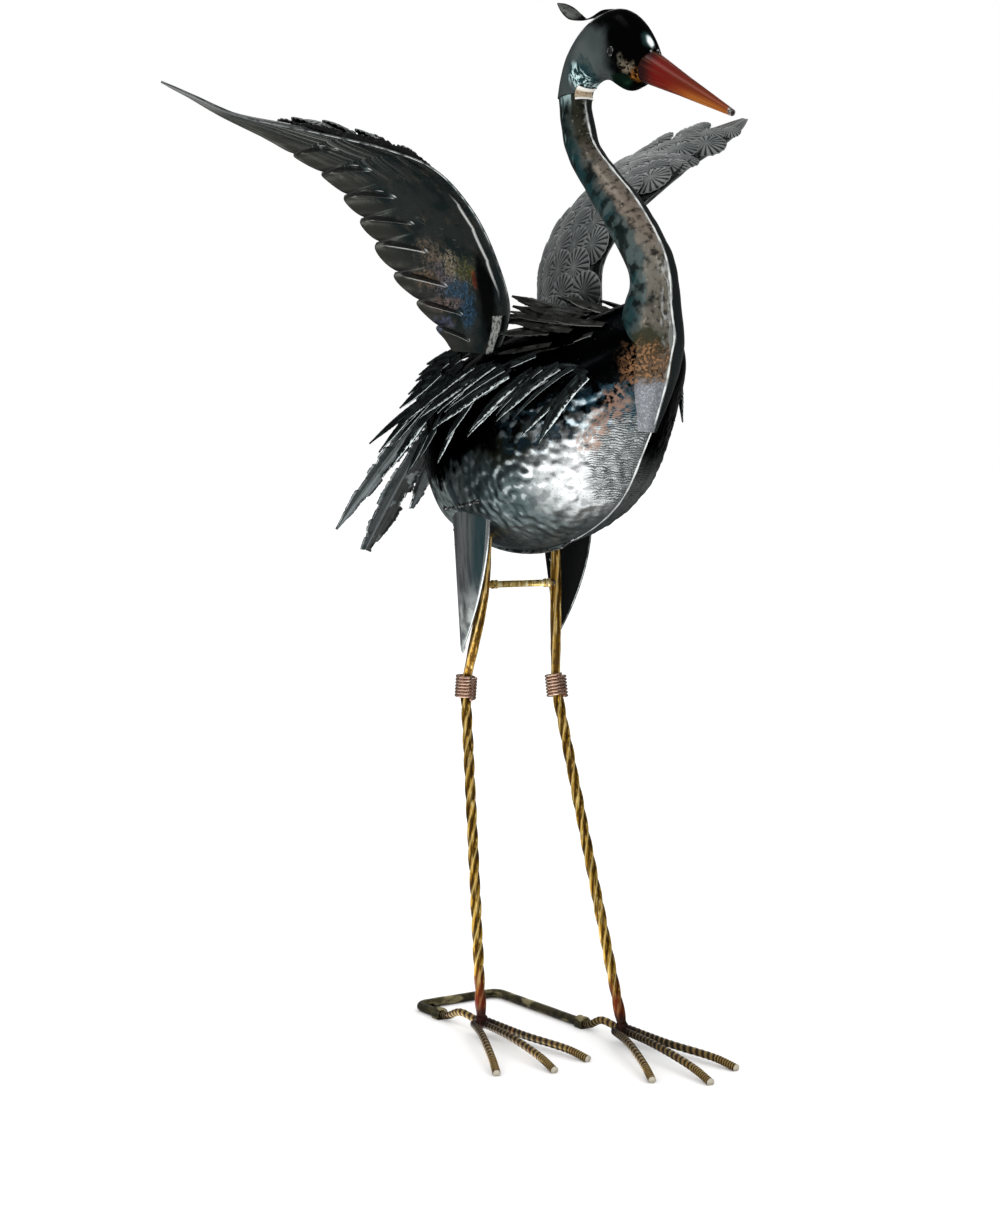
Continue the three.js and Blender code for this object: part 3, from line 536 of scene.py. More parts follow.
def headFinish():
    paint = Finish("head_black", (0.075, 0.092, 0.092), 0.28, 0.5, gloss=0.04, edge=0.25)
    paint.paint(paint.patches(10, 0.42, 0.6, 4), (0.085, 0.102, 0.102), 0.3)
    paint.paint(paint.spot((46, 12, 560), (12, 9, 11), wobble=0.3), (0.13, 0.155, 0.15), 0.28, amount=0.7)
    teal = paint.spot((40, 11, 553), (10, 9, 9), wobble=0.5, size=6)
    paint.paint(teal, (0.008, 0.050, 0.060), 0.24, amount=0.85)
    paint.paint((teal, paint.patches(4, 0.52, 0.62, 4, shift=6)), (0.006, 0.014, 0.014), 0.24)
    cyan = paint.patches(2.0, 0.46, 0.58, stretch=(1, 1, 6), shift=3)
    paint.paint((paint.spot((36, 9, 552), (6, 8, 9), size=5), cyan), (0.62, 0.84, 0.84), 0.4, 0.2)
    black = paint.slope((1, 0, 0.12), 129, 140, wobble=5, size=11)
    crown = paint.both(paint.slope((0.25, 0, 1), 588, 595, wobble=3), paint.slope((1, 0, 0), 30, 46))
    for mask in (black, crown):
        paint.paint(mask, (0.0016, 0.0018, 0.0016), 0.2, 0.6)
    # rubbed patches under the eye, toward the beak
    wisp = paint.patches(1.8, 0.40, 0.58, 4, stretch=(1.8, 1, 1), shift=4)
    paint.paint(paint.spot((73, 8, 546), (7, 6, 4), wobble=0.5), (0.008, 0.026, 0.015), 0.22, 0.8)
    paint.paint((paint.spot((77.5, 11, 556.5), (2.0, 4, 3.4), soft=0.6, wobble=0.5, size=4), wisp),
                (0.30, 0.28, 0.21), 0.26, 0.8, amount=0.6)
    paint.paint((paint.spot((82.5, 9, 552), (4.2, 5, 2.8), soft=0.6, wobble=0.7, size=4), wisp),
                (0.55, 0.45, 0.32), 0.24, 0.8, amount=0.8)
    paint.paint((paint.spot((86.5, 7, 548), (4.5, 5, 3.4), soft=0.5, wobble=0.5, size=4), wisp),
                (0.42, 0.16, 0.03), 0.28, 0.8, amount=0.9)
    # painted highlight on the forehead, with a dark teal halo painted round it
    glint = paint.spot((91.2, -0.4, 566.8), (3.0, 2.2, 4.4), soft=0.45, wobble=0.15, oneSide=True, size=4)
    halo = paint.spot((90.6, -1.6, 568.0), (4.0, 3.4, 6.0), soft=0.5, wobble=0.2, oneSide=True, size=4)
    paint.paint(halo, (0.03, 0.07, 0.065), 0.3, 0.5, amount=0.8)
    paint.paint(glint, (0.86, 0.94, 0.95), 0.5, 0.0)
    paint.uneven(7, 0.4, 0.25)
    paint.uneven(1, 0.05, 0.25, 2)
    return paint.done()


def beakFinish():
    amber = Finish("beak_amber", (0.24, 0.036, 0.005), 0.34, 0.25, gloss=0.25)
    streak = amber.grain(1, 4, stretch=(0.9, 0.05, 1), source=amber.uv)
    amber.paint(amber.smooth(amber.z, 542, 524), (0.42, 0.13, 0.018), 0.34)
    # the lower side is lighter than the top
    drop = amber.vector("DOT_PRODUCT", amber.place, (0.42, 0, 0.906))
    top = amber.smooth(amber.math("ADD", drop, amber.math("MULTIPLY_ADD", streak, 4, -2)), 535.5, 539.5)
    base = amber.smooth(amber.x, 132, 104)
    amber.paint(top, (0.13, 0.012, 0.003), 0.32, amount=0.85)
    amber.paint((base, amber.smooth(drop, 526, 534)), (0.15, 0.004, 0.002), 0.3)
    amber.paint((amber.smooth(amber.x, 104, 95), amber.smooth(drop, 530, 536)), (0.02, 0.004, 0.004), 0.3,
                amount=0.8)
    amber.paint(amber.smooth(streak, 0.53, 0.66), (0.12, 0.022, 0.008), 0.35, amount=0.7)
    amber.paint(amber.smooth(streak, 0.42, 0.32), (0.62, 0.30, 0.09), 0.28, amount=0.4)
    amber.paint(amber.patches(1.6, 0.66, 0.72), (0.15, 0.03, 0.01), 0.4, amount=0.6)
    amber.paint(amber.smooth(amber.x, 156.6, 157.6), (0.45, 0.42, 0.40), 0.3, 0.95)
    amber.paint(amber.smooth(amber.x, 99, 91), (0.014, 0.003, 0.003), 0.3, amount=0.9)
    amber.relief(streak, 0.35, 0.5)
    amber.uneven(1.2, 0.07, 0.3)
    return amber.done()


def crestFinish():
    leaf = Finish("crest_dark", (0.0022, 0.0024, 0.0022), 0.2, 0.6, gloss=0.08, edge=0.3)
    grey = leaf.smooth(leaf.x, 27, 19)
    leaf.paint(grey, (0.13, 0.14, 0.13), 0.4, 0.6)
    leaf.paint((grey, leaf.patches(2.4, 0.5, 0.66, 4, stretch=(3, 1, 1))), (0.05, 0.055, 0.05), 0.45)
    rim = leaf.smooth(leaf.fromMiddle(leaf.v), 0.36, 0.47)
    leaf.paint((grey, rim), (0.02, 0.02, 0.02), 0.35)
    leaf.uneven(1.4, 0.1, 0.4)
    return leaf.done()


def wingFinish():
    sheet = Finish("wing_sheet", (0.072, 0.086, 0.081), 0.26, 0.9, edge=0.5)
    sheet.paint(sheet.patches(16, 0.45, 0.62, 4), (0.035, 0.055, 0.055), 0.24)
    sheet.paint(sheet.patches(9, 0.55, 0.68, 4, shift=6), (0.12, 0.115, 0.10), 0.28, amount=0.8)
    # lengthwise streaks on the outer part
    outer = sheet.smooth(sheet.u, 0.36, 0.62)
    streak = sheet.grain(1, 4, stretch=(0.35, 0.022, 1), source=sheet.uv)
    sheet.paint((outer, sheet.smooth(streak, 0.44, 0.60)), (0.42, 0.44, 0.41), 0.34, 0.7, amount=0.8)
    blade = sheet.smooth(sheet.u, 0.76, 0.84)
    sheet.paint(blade, (0.26, 0.27, 0.265), 0.4, 0.3, amount=0.85)
    sheet.paint((blade, sheet.smooth(streak, 0.50, 0.60)), (0.09, 0.095, 0.095), 0.36)
    # grey-brown fingers at the rear edge
    sheet.paint(sheet.smooth(sheet.v, 0.72, 0.9), (0.125, 0.125, 0.108), 0.3, amount=0.8)
    # heat colours by the root, in ragged patches
    torn = sheet.patches(3.0, 0.42, 0.50, 4, distortion=1.4, shift=5)
    fleck = sheet.patches(1.7, 0.50, 0.60, 4, distortion=0.8, shift=12)
    heat = [
        ((-52, 42, 446), (16, 12, 11), (0.12, 0.10, 0.115)), ((-60, 47, 462), (10, 9, 7), (0.11, 0.085, 0.06)),
        ((-46, 38, 454), (7, 9, 9), (0.20, 0.17, 0.115)), ((-66, 46, 447), (10, 9, 5), (0.13, 0.09, 0.055)),
        ((-35, 36, 449), (8, 9, 8), (0.085, 0.085, 0.026)), ((-47, 38, 436), (8, 9, 9), (0.030, 0.075, 0.12)),
        ((-38, 36, 428), (6, 9, 13), (0.022, 0.065, 0.12)),
        ((-29, 36, 443), (2.2, 8, 4.5), (0.22, 0.035, 0.014)),
        ((-55, 40, 431), (12, 9, 4), (0.15, 0.105, 0.09)), ((-60, 40, 420), (10, 9, 4), (0.065, 0.075, 0.13))]
    for centre, radii, colour in heat:
        spot = sheet.spot(centre, radii, soft=0.5, wobble=0.6, size=5)
        sheet.paint((spot, torn), tuple(0.75 * part for part in colour), 0.3, 0.5, amount=0.95)
        pale = tuple(min(0.8, part * 1.9 + 0.03) for part in colour)
        sheet.paint((spot, fleck), pale, 0.3, 0.4, amount=0.5)
    sheet.paint(sheet.spot((-20, 36, 432), (9, 10, 26), wobble=0.3), (0.003, 0.0035, 0.0035), 0.25, amount=0.94)
    tone = sheet.tone()
    # painted shade in the pressed hollows and under each finger, painted highlight on the rims, ridges and
    # studs
    sheet.paint(sheet.smooth(tone, -0.1, -0.7), (0.004, 0.004, 0.004), 0.3, 0.3, amount=0.92)
    sheet.paint(sheet.smooth(tone, 0.25, 0.85), (0.60, 0.62, 0.60), 0.45, 0.15, amount=0.9)
    sheet.uneven(8, 1, 0.45)
    sheet.uneven(1.1, 0.07, 0.25)
    return sheet.done()


def scaleFinish():
    fan = Finish("wing_scale", (0.19, 0.205, 0.20), 0.45, 0.2)
    fan.paint(fan.patches(20, 0.4, 0.62), (0.13, 0.145, 0.143), 0.45)
    fan.paint(fan.slope((0, 0, -1), -428, -408, 7), (0.022, 0.050, 0.054), 0.3, amount=0.8)
    dark = fan.both(fan.slope((0, 0, -1), -455, -425, 10), fan.slope((1, 0, 0), -26, -12, 6))
    fan.paint(dark, (0.014, 0.016, 0.016), 0.35)
    tone = fan.tone()
    # painted shade: the pressed grooves painted near black
    fan.paint(fan.smooth(tone, 0.08, 0.6), (0.004, 0.0045, 0.0045), 0.5, 0.1, amount=0.96)
    fan.paint(fan.smooth(fan.u, 0.92, 0.99), (0.24, 0.25, 0.25), 0.35, amount=0.6)
    fan.uneven(1.2, 0.08, 0.3)
    return fan.done()


def bracketFinish():
    strip = Finish("wing_bracket", (0.26, 0.27, 0.25), 0.5, 0.1)
    strip.paint(strip.patches(2.0, 0.5, 0.58), (0.05, 0.052, 0.05), 0.5)
    strip.paint(strip.patches(0.9, 0.62, 0.68, 2, shift=4), (0.02, 0.02, 0.02), 0.5)
    strip.uneven(1.2, 0.2, 0.6)
    return strip.done()


def featherFinish(name, colour, shine, lit, roughness=0.26):
    barb = Finish(name, colour, roughness, 0.75, gloss=0.15, edge=0.3)
    across = barb.fromMiddle(barb.v)
    streak = barb.grain(1, 4, stretch=(0.25, 0.12, 1), source=barb.uv)
    # lighter streaks, a painted sheen
    barb.paint(barb.smooth(streak, 0.48, 0.68), shine, roughness + 0.04, amount=0.8)
    barb.paint(barb.patches(7, 0.56, 0.66, 4), (0.004, 0.004, 0.004), 0.3, amount=0.8)
    # painted highlight: some feathers get it along one half, and most along a thin edge of it
    tone = barb.tone()
    speckle = barb.patches(2.2, 0.46, 0.54, shift=5)
    outer = barb.smooth(across, 0.2, 0.4)
    barb.paint((barb.smooth(tone, 0.66, 0.88), speckle, outer), lit, 0.4, 0.15, amount=0.85)
    barb.paint((barb.smooth(across, 0.40, 0.45), barb.smooth(tone, 0.2, 0.45)), lit, 0.4, 0.15, amount=0.85)
    barb.relief(streak, 0.25, 0.5)
    return barb.done()


def tailFinish():
    vane = Finish("tail_feather", (0.14, 0.16, 0.165), 0.34, 0.82, coat=0.2)
    streak = vane.grain(1, 4, stretch=(0.3, 0.06, 1), source=vane.uv)
    vane.paint(vane.smooth(streak, 0.46, 0.64), (0.22, 0.26, 0.265), 0.32, amount=0.7)
    vane.paint(vane.patches(9, 0.52, 0.66, 4), (0.05, 0.075, 0.08), 0.32, amount=0.7)
    tone = vane.tone()
    dark = vane.both(vane.smooth(tone, 0.05, 0.2), vane.patches(8, 0.36, 0.44, 4, shift=6))
    vane.paint(dark, (0.010, 0.011, 0.011), 0.3, 0.5, amount=0.95)
    rib = vane.smooth(vane.fromMiddle(vane.v), 0.045, 0.02)
    vane.paint(rib, (0.36, 0.40, 0.41), 0.3, amount=0.7)
    # painted highlight along one edge
    vane.paint(vane.smooth(vane.v, 0.965, 0.985), (0.5, 0.55, 0.56), 0.25, 1.0, amount=0.8)
    vane.relief(streak, 0.3, 0.5)
    return vane.done()


# dark gives the far plate's finish: near black, as painted shade
def thighFinish(dark):
    plate = Finish("thigh_sheet_painted_shade" if dark else "thigh_sheet",
                   (0.004, 0.0045, 0.0045) if dark else (0.145, 0.155, 0.16), 0.38, 0.6)
    if not dark:
        streak = plate.grain(3.0, 4, stretch=(1, 1, 11))
        plate.paint(plate.smooth(streak, 0.46, 0.62), (0.06, 0.068, 0.072), 0.38, amount=0.85)
        plate.paint((plate.smooth(plate.v, 0.35, 0.2), plate.smooth(plate.u, 0.45, 0.2)),
                    (0.045, 0.05, 0.055), 0.35, amount=0.7)
        plate.paint((plate.smooth(plate.v, 0.55, 0.8), plate.smooth(plate.u, 0.7, 0.45)),
                    (0.014, 0.050, 0.058), 0.28, amount=0.85)
        low = plate.smooth(plate.u, 0.5, 0.8)
        plate.paint((low, plate.patches(8, 0.34, 0.66, 5)), (0.44, 0.48, 0.46), 0.42, 0.4)
        plate.paint(plate.smooth(plate.v, 0.93, 0.965), (0.80, 0.84, 0.84), 0.25, 1.0)
        plate.paint(plate.patches(2, 0.66, 0.74, shift=5), (0.03, 0.035, 0.035), 0.5, amount=0.8)
    plate.uneven(5, 0.4, 0.35, 4)
    return plate.done()


def goldFinish(name, colour, dark, light, red=None):
    gold = Finish(name, colour, 0.28, 0.8, gloss=0.3)
    streak = gold.grain(1.7, 4, stretch=(1, 1, 8), distortion=0.4)
    gold.paint(gold.smooth(streak, 0.48, 0.58), dark, 0.38, amount=0.9)
    gold.paint(gold.smooth(streak, 0.44, 0.36), light, 0.25, 0.6, amount=0.85)
    gold.paint(gold.patches(9, 0.58, 0.68, 4, shift=4), (0.10, 0.055, 0.02), 0.4, amount=0.7)
    # painted highlight along the corners of the bar, painted shade in its grooves
    gold.paint(gold.smooth(gold.tone(), 0.35, 0.8), light, 0.3, 0.55, amount=0.6)
    gold.paint(gold.smooth(gold.tone(), 0.0, -0.6), dark, 0.4, amount=0.85)
    if red:
        hot = gold.slope((0, 0, -1), -44, -22, wobble=8)
        gold.paint(hot, red, 0.32, amount=0.85)
        gold.paint(gold.slope((0, 0, -1), -19, -13, wobble=2), (0.05, 0.02, 0.015), 0.4)
    gold.relief(streak, 0.25, 0.5)
    gold.uneven(1, 0.06, 0.3)
    return gold.done()


def copperFinish():
    wire = Finish("copper_wire", (0.72, 0.48, 0.36), 0.26, 0.95)
    wire.paint(wire.patches(6, 0.45, 0.65), (0.46, 0.27, 0.19), 0.3, amount=0.8)
    wire.paint(wire.patches(4, 0.55, 0.7, shift=4), (0.92, 0.78, 0.66), 0.22, amount=0.8)
    wire.uneven(1.1, 0.06, 0.3, 2)
    return wire.done()


def toeFinish():
    rod = Finish("toe_bronze", (0.060, 0.044, 0.028), 0.4, 0.7)
    rod.paint(rod.patches(5, 0.5, 0.64, 4), (0.15, 0.10, 0.045), 0.4, amount=0.8)
    rod.paint(rod.smooth(rod.u, 0.25, 0.8), (0.42, 0.265, 0.070), 0.38, amount=0.85)
    rod.paint(rod.patches(6, 0.54, 0.66, 4, shift=8), (0.22, 0.070, 0.02), 0.4, amount=0.7)
    # painted highlight on the crests of the ribs, painted shade between them
    rod.paint(rod.smooth(rod.tone(), 0.45, 0.95), (0.62, 0.47, 0.22), 0.35, amount=0.55)
    rod.paint(rod.smooth(rod.tone(), 0.1, -0.5), (0.008, 0.006, 0.004), 0.5, 0.4, amount=0.92)
    rod.paint(rod.smooth(rod.u, 0.16, 0.05), (0.02, 0.011, 0.008), 0.4, amount=0.9)
    rod.paint(rod.smooth(rod.u, 0.992, 0.998), (0.60, 0.55, 0.44), 0.4, 0.2)
    rod.uneven(1, 0.15, 0.5)
    return rod.done()


def loopFinish():
    wire = Finish("loop_bronze", (0.12, 0.105, 0.055), 0.36, 0.8)
    wire.paint(wire.patches(7, 0.46, 0.62, 4), (0.045, 0.045, 0.028), 0.4, amount=0.8)
    wire.paint(wire.patches(4, 0.52, 0.66, stretch=(3, 3, 1), shift=3), (0.36, 0.31, 0.16), 0.32, 0.6)
    wire.paint(wire.patches(1.2, 0.64, 0.72, shift=9), (0.16, 0.07, 0.03), 0.55, amount=0.7)
    wire.uneven(1.4, 0.18, 0.5, 4)
    return wire.done()


def weldFinish():
    bead = Finish("weld_dark", (0.05, 0.05, 0.05), 0.4, 0.85)
    bead.paint(bead.patches(1.6, 0.52, 0.6), (0.55, 0.57, 0.57), 0.28)
    bead.uneven(0.8, 0.2, 0.6)
    return bead.done()


def seamFinish():
    # the bead is painted near white, a painted highlight along the seam
    bead = Finish("seam_bright", (0.74, 0.77, 0.75), 0.4, 0.25)
    worn = bead.patches(9, 0.48, 0.64, 4)
    bead.paint(worn, (0.22, 0.24, 0.24), 0.36, amount=0.7)
    bead.paint(bead.slope((0, 0, -1), -345, -312, 6), (0.22, 0.24, 0.24), 0.34, amount=0.8)
    bead.uneven(0.9, 0.12, 0.5, 2)
    return bead.done()


cutEdge = cutEdgeFinish()
bodySteel = bodyFinish()
neckPatina = neckFinish()
headBlack = headFinish()
wingSheet = wingFinish()
fanScale = scaleFinish()
weldDark = weldFinish()
seamBright = seamFinish()
loopBronze = loopFinish()
print("materials made:", len(bpy.data.materials))

# body: two half shells domed over one outline, hammered
body = {
    "centre": Vector((14, 0, 354)), "halfWidth": 57,
    "outline": [(111, 411), (101.5, 381), (87, 349), (66, 319), (32, 299), (-12, 288), (-61, 289.5),
                (-98, 302.5), (-116, 331), (-110, 364), (-70, 396), (-12, 415), (45, 421), (90, 428)],
    # roundness of the section: 2 is an ellipse and 1 is pointed
    "belly": 1.6, "back": 2.1, "backFrom": (310, 400), "keel": 1.15, "keelFrom": (20, 95),
    "around": 500, "across": 156,
    "dentSize": 6.4, "dentDepth": 1.15, "ripple": 4.6, "sagSize": 26, "sag": 0.5, "seamHalf": (1.5, 6),
    "hammered": {"rear": (-45, -25), "breast": (74, 88), "top": (375, 395)},
}
bodyOutline = curveThrough([(x, 0, z) for x, z in body["outline"]], closed=True)


# t runs round the outline in the middle plane, across from -1 (right) to 1 (left)
def bodyPoint(t, across):
    rim = bodyOutline(t)
    roundness = mix(body["belly"], body["back"], smooth(rim.z, *body["backFrom"]))
    power = mix(roundness, body["keel"], smooth(rim.x, *body["keelFrom"]))
    share = max(0, 1 - abs(across) ** power) ** 0.5
    return body["centre"] + Vector((0, across * body["halfWidth"], 0)) + (rim - body["centre"]) * share


# depth of the hammer marks at a point of the shell
def hammered(point):
    nearest = noise.voronoi(point / body["dentSize"])[0][0]
    dent = body["dentDepth"] * (0.6 * (0.45 - min(nearest, 0.8)) + 0.55 * noise.noise(point / body["ripple"]))
    sag = noise.noise(point / body["sagSize"]) * body["sag"]
    edges = body["hammered"]
    struck = smooth(point.x, *edges["rear"]) * (1 - 0.85 * smooth(point.x, *edges["breast"]))
    struck *= 1 - smooth(point.z, *edges["top"])
    return (dent * struck + sag) * smooth(abs(point.y), *body["seamHalf"])


def bodySurface(u, v):
    point = bodyPoint(u, -math.cos(v * math.pi))
    out = (point - body["centre"]).normalized()
    return point + out * hammered(point)


# which way a hammer mark faces, read by the body's painted highlight and shade: above 0 down and forward, below
# 0 up
def bodyFacing(u, v):
    point = bodyPoint(u, -math.cos(v * math.pi))
    shift = Vector((0.35, 0, -0.75))
    return max(-1, min(1, (hammered(point + shift) - hammered(point - shift)) * -2.2))


gridPiece("bodyShell", body["around"], body["across"], bodySurface, bodySteel, "body_steel", ["body"],
          closed=True, tone=bodyFacing)
print("body shell made")

# neck, head and the seam down their front
neck = {
    "stations": [
        (85, 357, 8.2, 6.6), (87.6, 374, 13, 12), (90, 390, 17, 16.5), (91, 406, 19.2, 18.2),
        (93.2, 423, 16, 15.5), (94.3, 434, 13.8, 13.4), (92, 445, 13, 12.8), (85.6, 455, 12.8, 12.6),
        (77.4, 464.7, 12.8, 12.6), (65.2, 477.9, 12.2, 12), (54.4, 487.8, 11.4, 11.2),
        (44.2, 497.6, 10.4, 10.3), (35, 506.5, 9.9, 9.9), (28.4, 515.5, 9.6, 9.6), (24.6, 525, 9.6, 9.6),
        (21.8, 536, 9.2, 9.2), (20.7, 544.2, 8.8, 8.8)],
    "along": 170, "around": 72, "ripple": 0.35,
    "band": (-3.6, 4.2), "bandSide": (-0.103, 0.071), "bandLift": 0.4, "bandRise": 0.045,
    "bandRun": (-0.137, 0, 0.99),
    # the seam stands out most round one height, and runs on under the body
    "seamRise": 1.8, "seamAt": 409, "seamSpread": 9, "seamFrom": 0.165, "seamStep": 0.01, "seamSteps": 44,
}
neckAt = stationsOf(neck["stations"])


def neckFrame(t):
    (x, z, reach, half), after, before = neckAt(t), neckAt(t + 1e-3), neckAt(t - 1e-3)
    run = (Vector((after[0], 0, after[1])) - Vector((before[0], 0, before[1]))).normalized()
    return Vector((x, 0, z)), Vector((run.z, 0, -run.x)), reach, half


# v is 0 at the front, 0.25 at the left, 0.5 at the back and 0.75 at the right
def neckPoint(t, v, grow=0.0):
    centre, forward, reach, half = neckFrame(t)
    angle = v * 2 * math.pi
    aside = Vector((0, (half + grow) * math.sin(angle), 0))
    return centre + forward * ((reach + grow) * math.cos(angle)) + aside


# the top flares a little to meet the head, most at the throat
def neckFlare(v):
    return 0.4 + 1.3 * max(math.cos(v * 2 * math.pi), 0)


def neckSurface(u, v):
    ripple = neck["ripple"] * noise.noise(neckPoint(u, v) / 9) * smooth(u, 0, 0.05) * (1 - smooth(u, 0.93, 1))
    return neckPoint(u, v, ripple + neckFlare(v) * smooth(u, 0.945, 1))


gridPiece("neckTube", neck["along"], neck["around"], neckSurface, neckPatina, "neck_patina", ["neck"],
          closed=True)

head = {
    "stations": [
        (10.6, 543.9, 31.0, 545.8, 9.9), (14.6, 557, 32.0, 546.6, 10.3), (22.4, 570, 38.6, 549.8, 11.8),
        (37.7, 582, 47.3, 550.8, 13.4), (54, 587.2, 57.5, 548.8, 14), (67, 586.6, 71, 542, 13.4),
        (78, 580.6, 79.8, 542.4, 11.6), (87, 571, 84.2, 543.6, 9.8), (93.3, 560.3, 85.9, 544.1, 8.9)],
    "along": 90, "around": 72,
    "welds": [((93.2, 2.4, 560.6), 1.2), ((93.0, -1.9, 559.8), 1.0), ((92.6, 0.6, 562.4), 0.8)],
}
headAt = stationsOf(head["stations"])


def headPoint(t, v):
    upperX, upperZ, lowerX, lowerZ, half = headAt(t)
    upper, lower = Vector((upperX, 0, upperZ)), Vector((lowerX, 0, lowerZ))
    centre = (upper + lower) / 2
    angle = v * 2 * math.pi
    return centre + (lower - centre) * math.cos(angle) + Vector((0, half * math.sin(angle), 0))


gridPiece("headShell", head["along"], head["around"], headPoint, headBlack, "head_black", ["head"], closed=True)

# the halves of neck and breast meet on a raised seam
seamLine = [neckPoint(1 - i / 60, 0) for i in range(61) if 1 - i / 60 > 0.03]
rises = [math.exp(-((point.z - neck["seamAt"]) / neck["seamSpread"]) ** 2) for point in seamLine]
seamLine = [point + Vector((neck["seamRise"] * rise, 0, 0)) for point, rise in zip(seamLine, rises)]
seamLine += [bodyPoint(neck["seamFrom"] + neck["seamStep"] * i, 0) for i in range(neck["seamSteps"])]
seamPath = curveThrough(seamLine)


def seamReach(u, angle):
    bead = 0.54 + 0.10 * math.sin(u * 260) + 0.08 * math.sin(u * 97 + 1)
    return bead * mix(1, 0.55, smooth(u, 0.6, 0.8))


rodPiece("frontSeam", seamPath, 420, 8, seamReach, seamBright, "body_steel", reference=Vector((0, 1, 0)))

# the joint band where head and neck meet
bandTan = Finish("joint_tan", (0.50, 0.40, 0.28), 0.45, 0.3)
edges = bandTan.smooth(bandTan.fromMiddle(bandTan.u), 0.30, 0.38)
bandTan.paint(bandTan.patches(2.5, 0.5, 0.64), (0.36, 0.24, 0.16), 0.5)
bandTan.paint(edges, (0.90, 0.88, 0.82), 0.4, 0.2)
bandTan.uneven(1.2, 0.15, 0.5)
bandTan = bandTan.done()


def bandSurface(u, v):
    turn = mix(neck["bandSide"][0], neck["bandSide"][1], v)
    height = mix(neck["band"][0], neck["band"][1], u)
    lift = neck["bandLift"] + 0.35 * (abs(u - 0.5) * 2) ** 4
    if height < 0:
        return neckPoint(1, turn, lift + neckFlare(turn)) + Vector(neck["bandRun"]) * height
    ring = headPoint(height * neck["bandRise"], turn)
    return ring + (ring - headPoint(height * neck["bandRise"], turn + 0.5)).normalized() * lift


gridPiece("jointBand", 12, 40, bandSurface, bandTan, "neck_patina", sheet=0.7, edge=cutEdge)

dropPiece("browWelds", head["welds"], weldDark, "head_black", subdivisions=2)
print("neck and head made")

# eyes: a wire ring round a small dark bead
eye = {"place": (71, 12.9, 562), "radius": 2.2, "wire": 0.65, "ball": 1.7}
eyeSteel = Finish("eye_ring", (0.36, 0.38, 0.36), 0.25, 1.0)
eyeSteel.paint(eyeSteel.patches(2.2, 0.48, 0.6), (0.02, 0.02, 0.02), 0.3)
eyeSteel.paint(eyeSteel.spot(eye["place"], (1.9, 4, 1.9), soft=0.1, wobble=0), (0.006, 0.006, 0.006), 0.1, 0.2)
eyeSteel.uneven(0.9, 0.1, 0.4, 2)
eyeSteel = eyeSteel.done()

ringTurns = [k / 12 * 2 * math.pi for k in range(13)]
eyeWire = [(eye["radius"] + eye["wire"] * math.cos(turn), eye["wire"] * math.sin(turn)) for turn in ringTurns]
beadTurns = [k / 8 * math.pi for k in range(9)]
eyeBead = [(eye["ball"] * math.sin(turn), -eye["ball"] * 0.6 * math.cos(turn)) for turn in beadTurns]
for sideName, side in sides:
    bm = newShape()
    place = aimed(onSide(eye["place"], side), (0, side, 0))
    addTurned(bm, eyeWire, 36, place)
    addTurned(bm, eyeBead, 24, place)
    addPiece("eyeRing_" + sideName, closeShape(bm), eyeSteel, "eye_ring", ["eye_" + sideName])

# beak: a rolled cone with an open tip
beak = {
    "face": (89.6, 0, 552.2), "tip": (159.2, 0, 519.5), "start": 0.3,
    "base": 8.8, "knee": 0.42, "kneeShare": 0.62, "point": 1.75, "swell": 0.12, "bore": 1.1, "depth": 4,
}
beakFace, beakTip = Vector(beak["face"]), Vector(beak["tip"])
beakLong = (beakTip - beakFace).length - beak["start"]
profile = [(0, 0), (beak["base"] - 0.5, 0), (beak["base"], 0.5)]
for k in range(1, 41):
    share, knee = k / 40, beak["knee"]
    if share < knee:
        taper = mix(1, beak["kneeShare"], share / knee)
    else:
        taper = mix(beak["kneeShare"], beak["point"] / beak["base"], (share - knee) / (1 - knee))
    swell = beak["swell"] * math.sin(share * math.pi)
    profile.append((beak["base"] * taper + swell, 0.5 + (beakLong - 0.7) * share))
profile += [(beak["point"] - 0.25, beakLong), (beak["bore"] + 0.1, beakLong), (beak["bore"], beakLong - 0.3),
            (beak["bore"], beakLong - beak["depth"]), (0, beakLong - beak["depth"])]
beakPlace = aimed(beakFace + (beakTip - beakFace).normalized() * beak["start"], beakTip - beakFace)
turnedPiece("beakCone", profile, 64, beakPlace, beakFinish(), "beak_amber", ["beak"])

# crest: a strip over the crown that ends in a lifted leaf
crest = {
    "stations": [
        (62, 586.9, 2.2, 0), (52, 587.6, 4.2, 0), (42, 586.4, 3.6, 8), (31, 586.4, 1.6, 20),
        (24, 588.6, 2.8, 40), (16.8, 592, 3.9, 55), (9.6, 595.9, 3, 60), (3.4, 599.4, 0.5, 60)],
    "cup": 0.9, "gauge": 0.6,
}
crestAt = stationsOf(crest["stations"])


def crestSurface(u, v):
    x, z, width, turn = crestAt(u)
    across, roll = v * 2 - 1, math.radians(turn)
    half = width * across
    cup = -crest["cup"] * (1 - abs(across)) * smooth(u, 0.5, 0.7) * smooth(1 - u, 0, 0.12)
    aside, rise = half * math.cos(roll) - cup * math.sin(roll), half * math.sin(roll) + cup * math.cos(roll)
    return Vector((x, 0, z)) + Vector((0, aside, rise))


gridPiece("crestLeaf", 70, 10, crestSurface, crestFinish(), "crest_dark", ["crest_plate"], sheet=crest["gauge"])
print("eyes, beak and crest made")

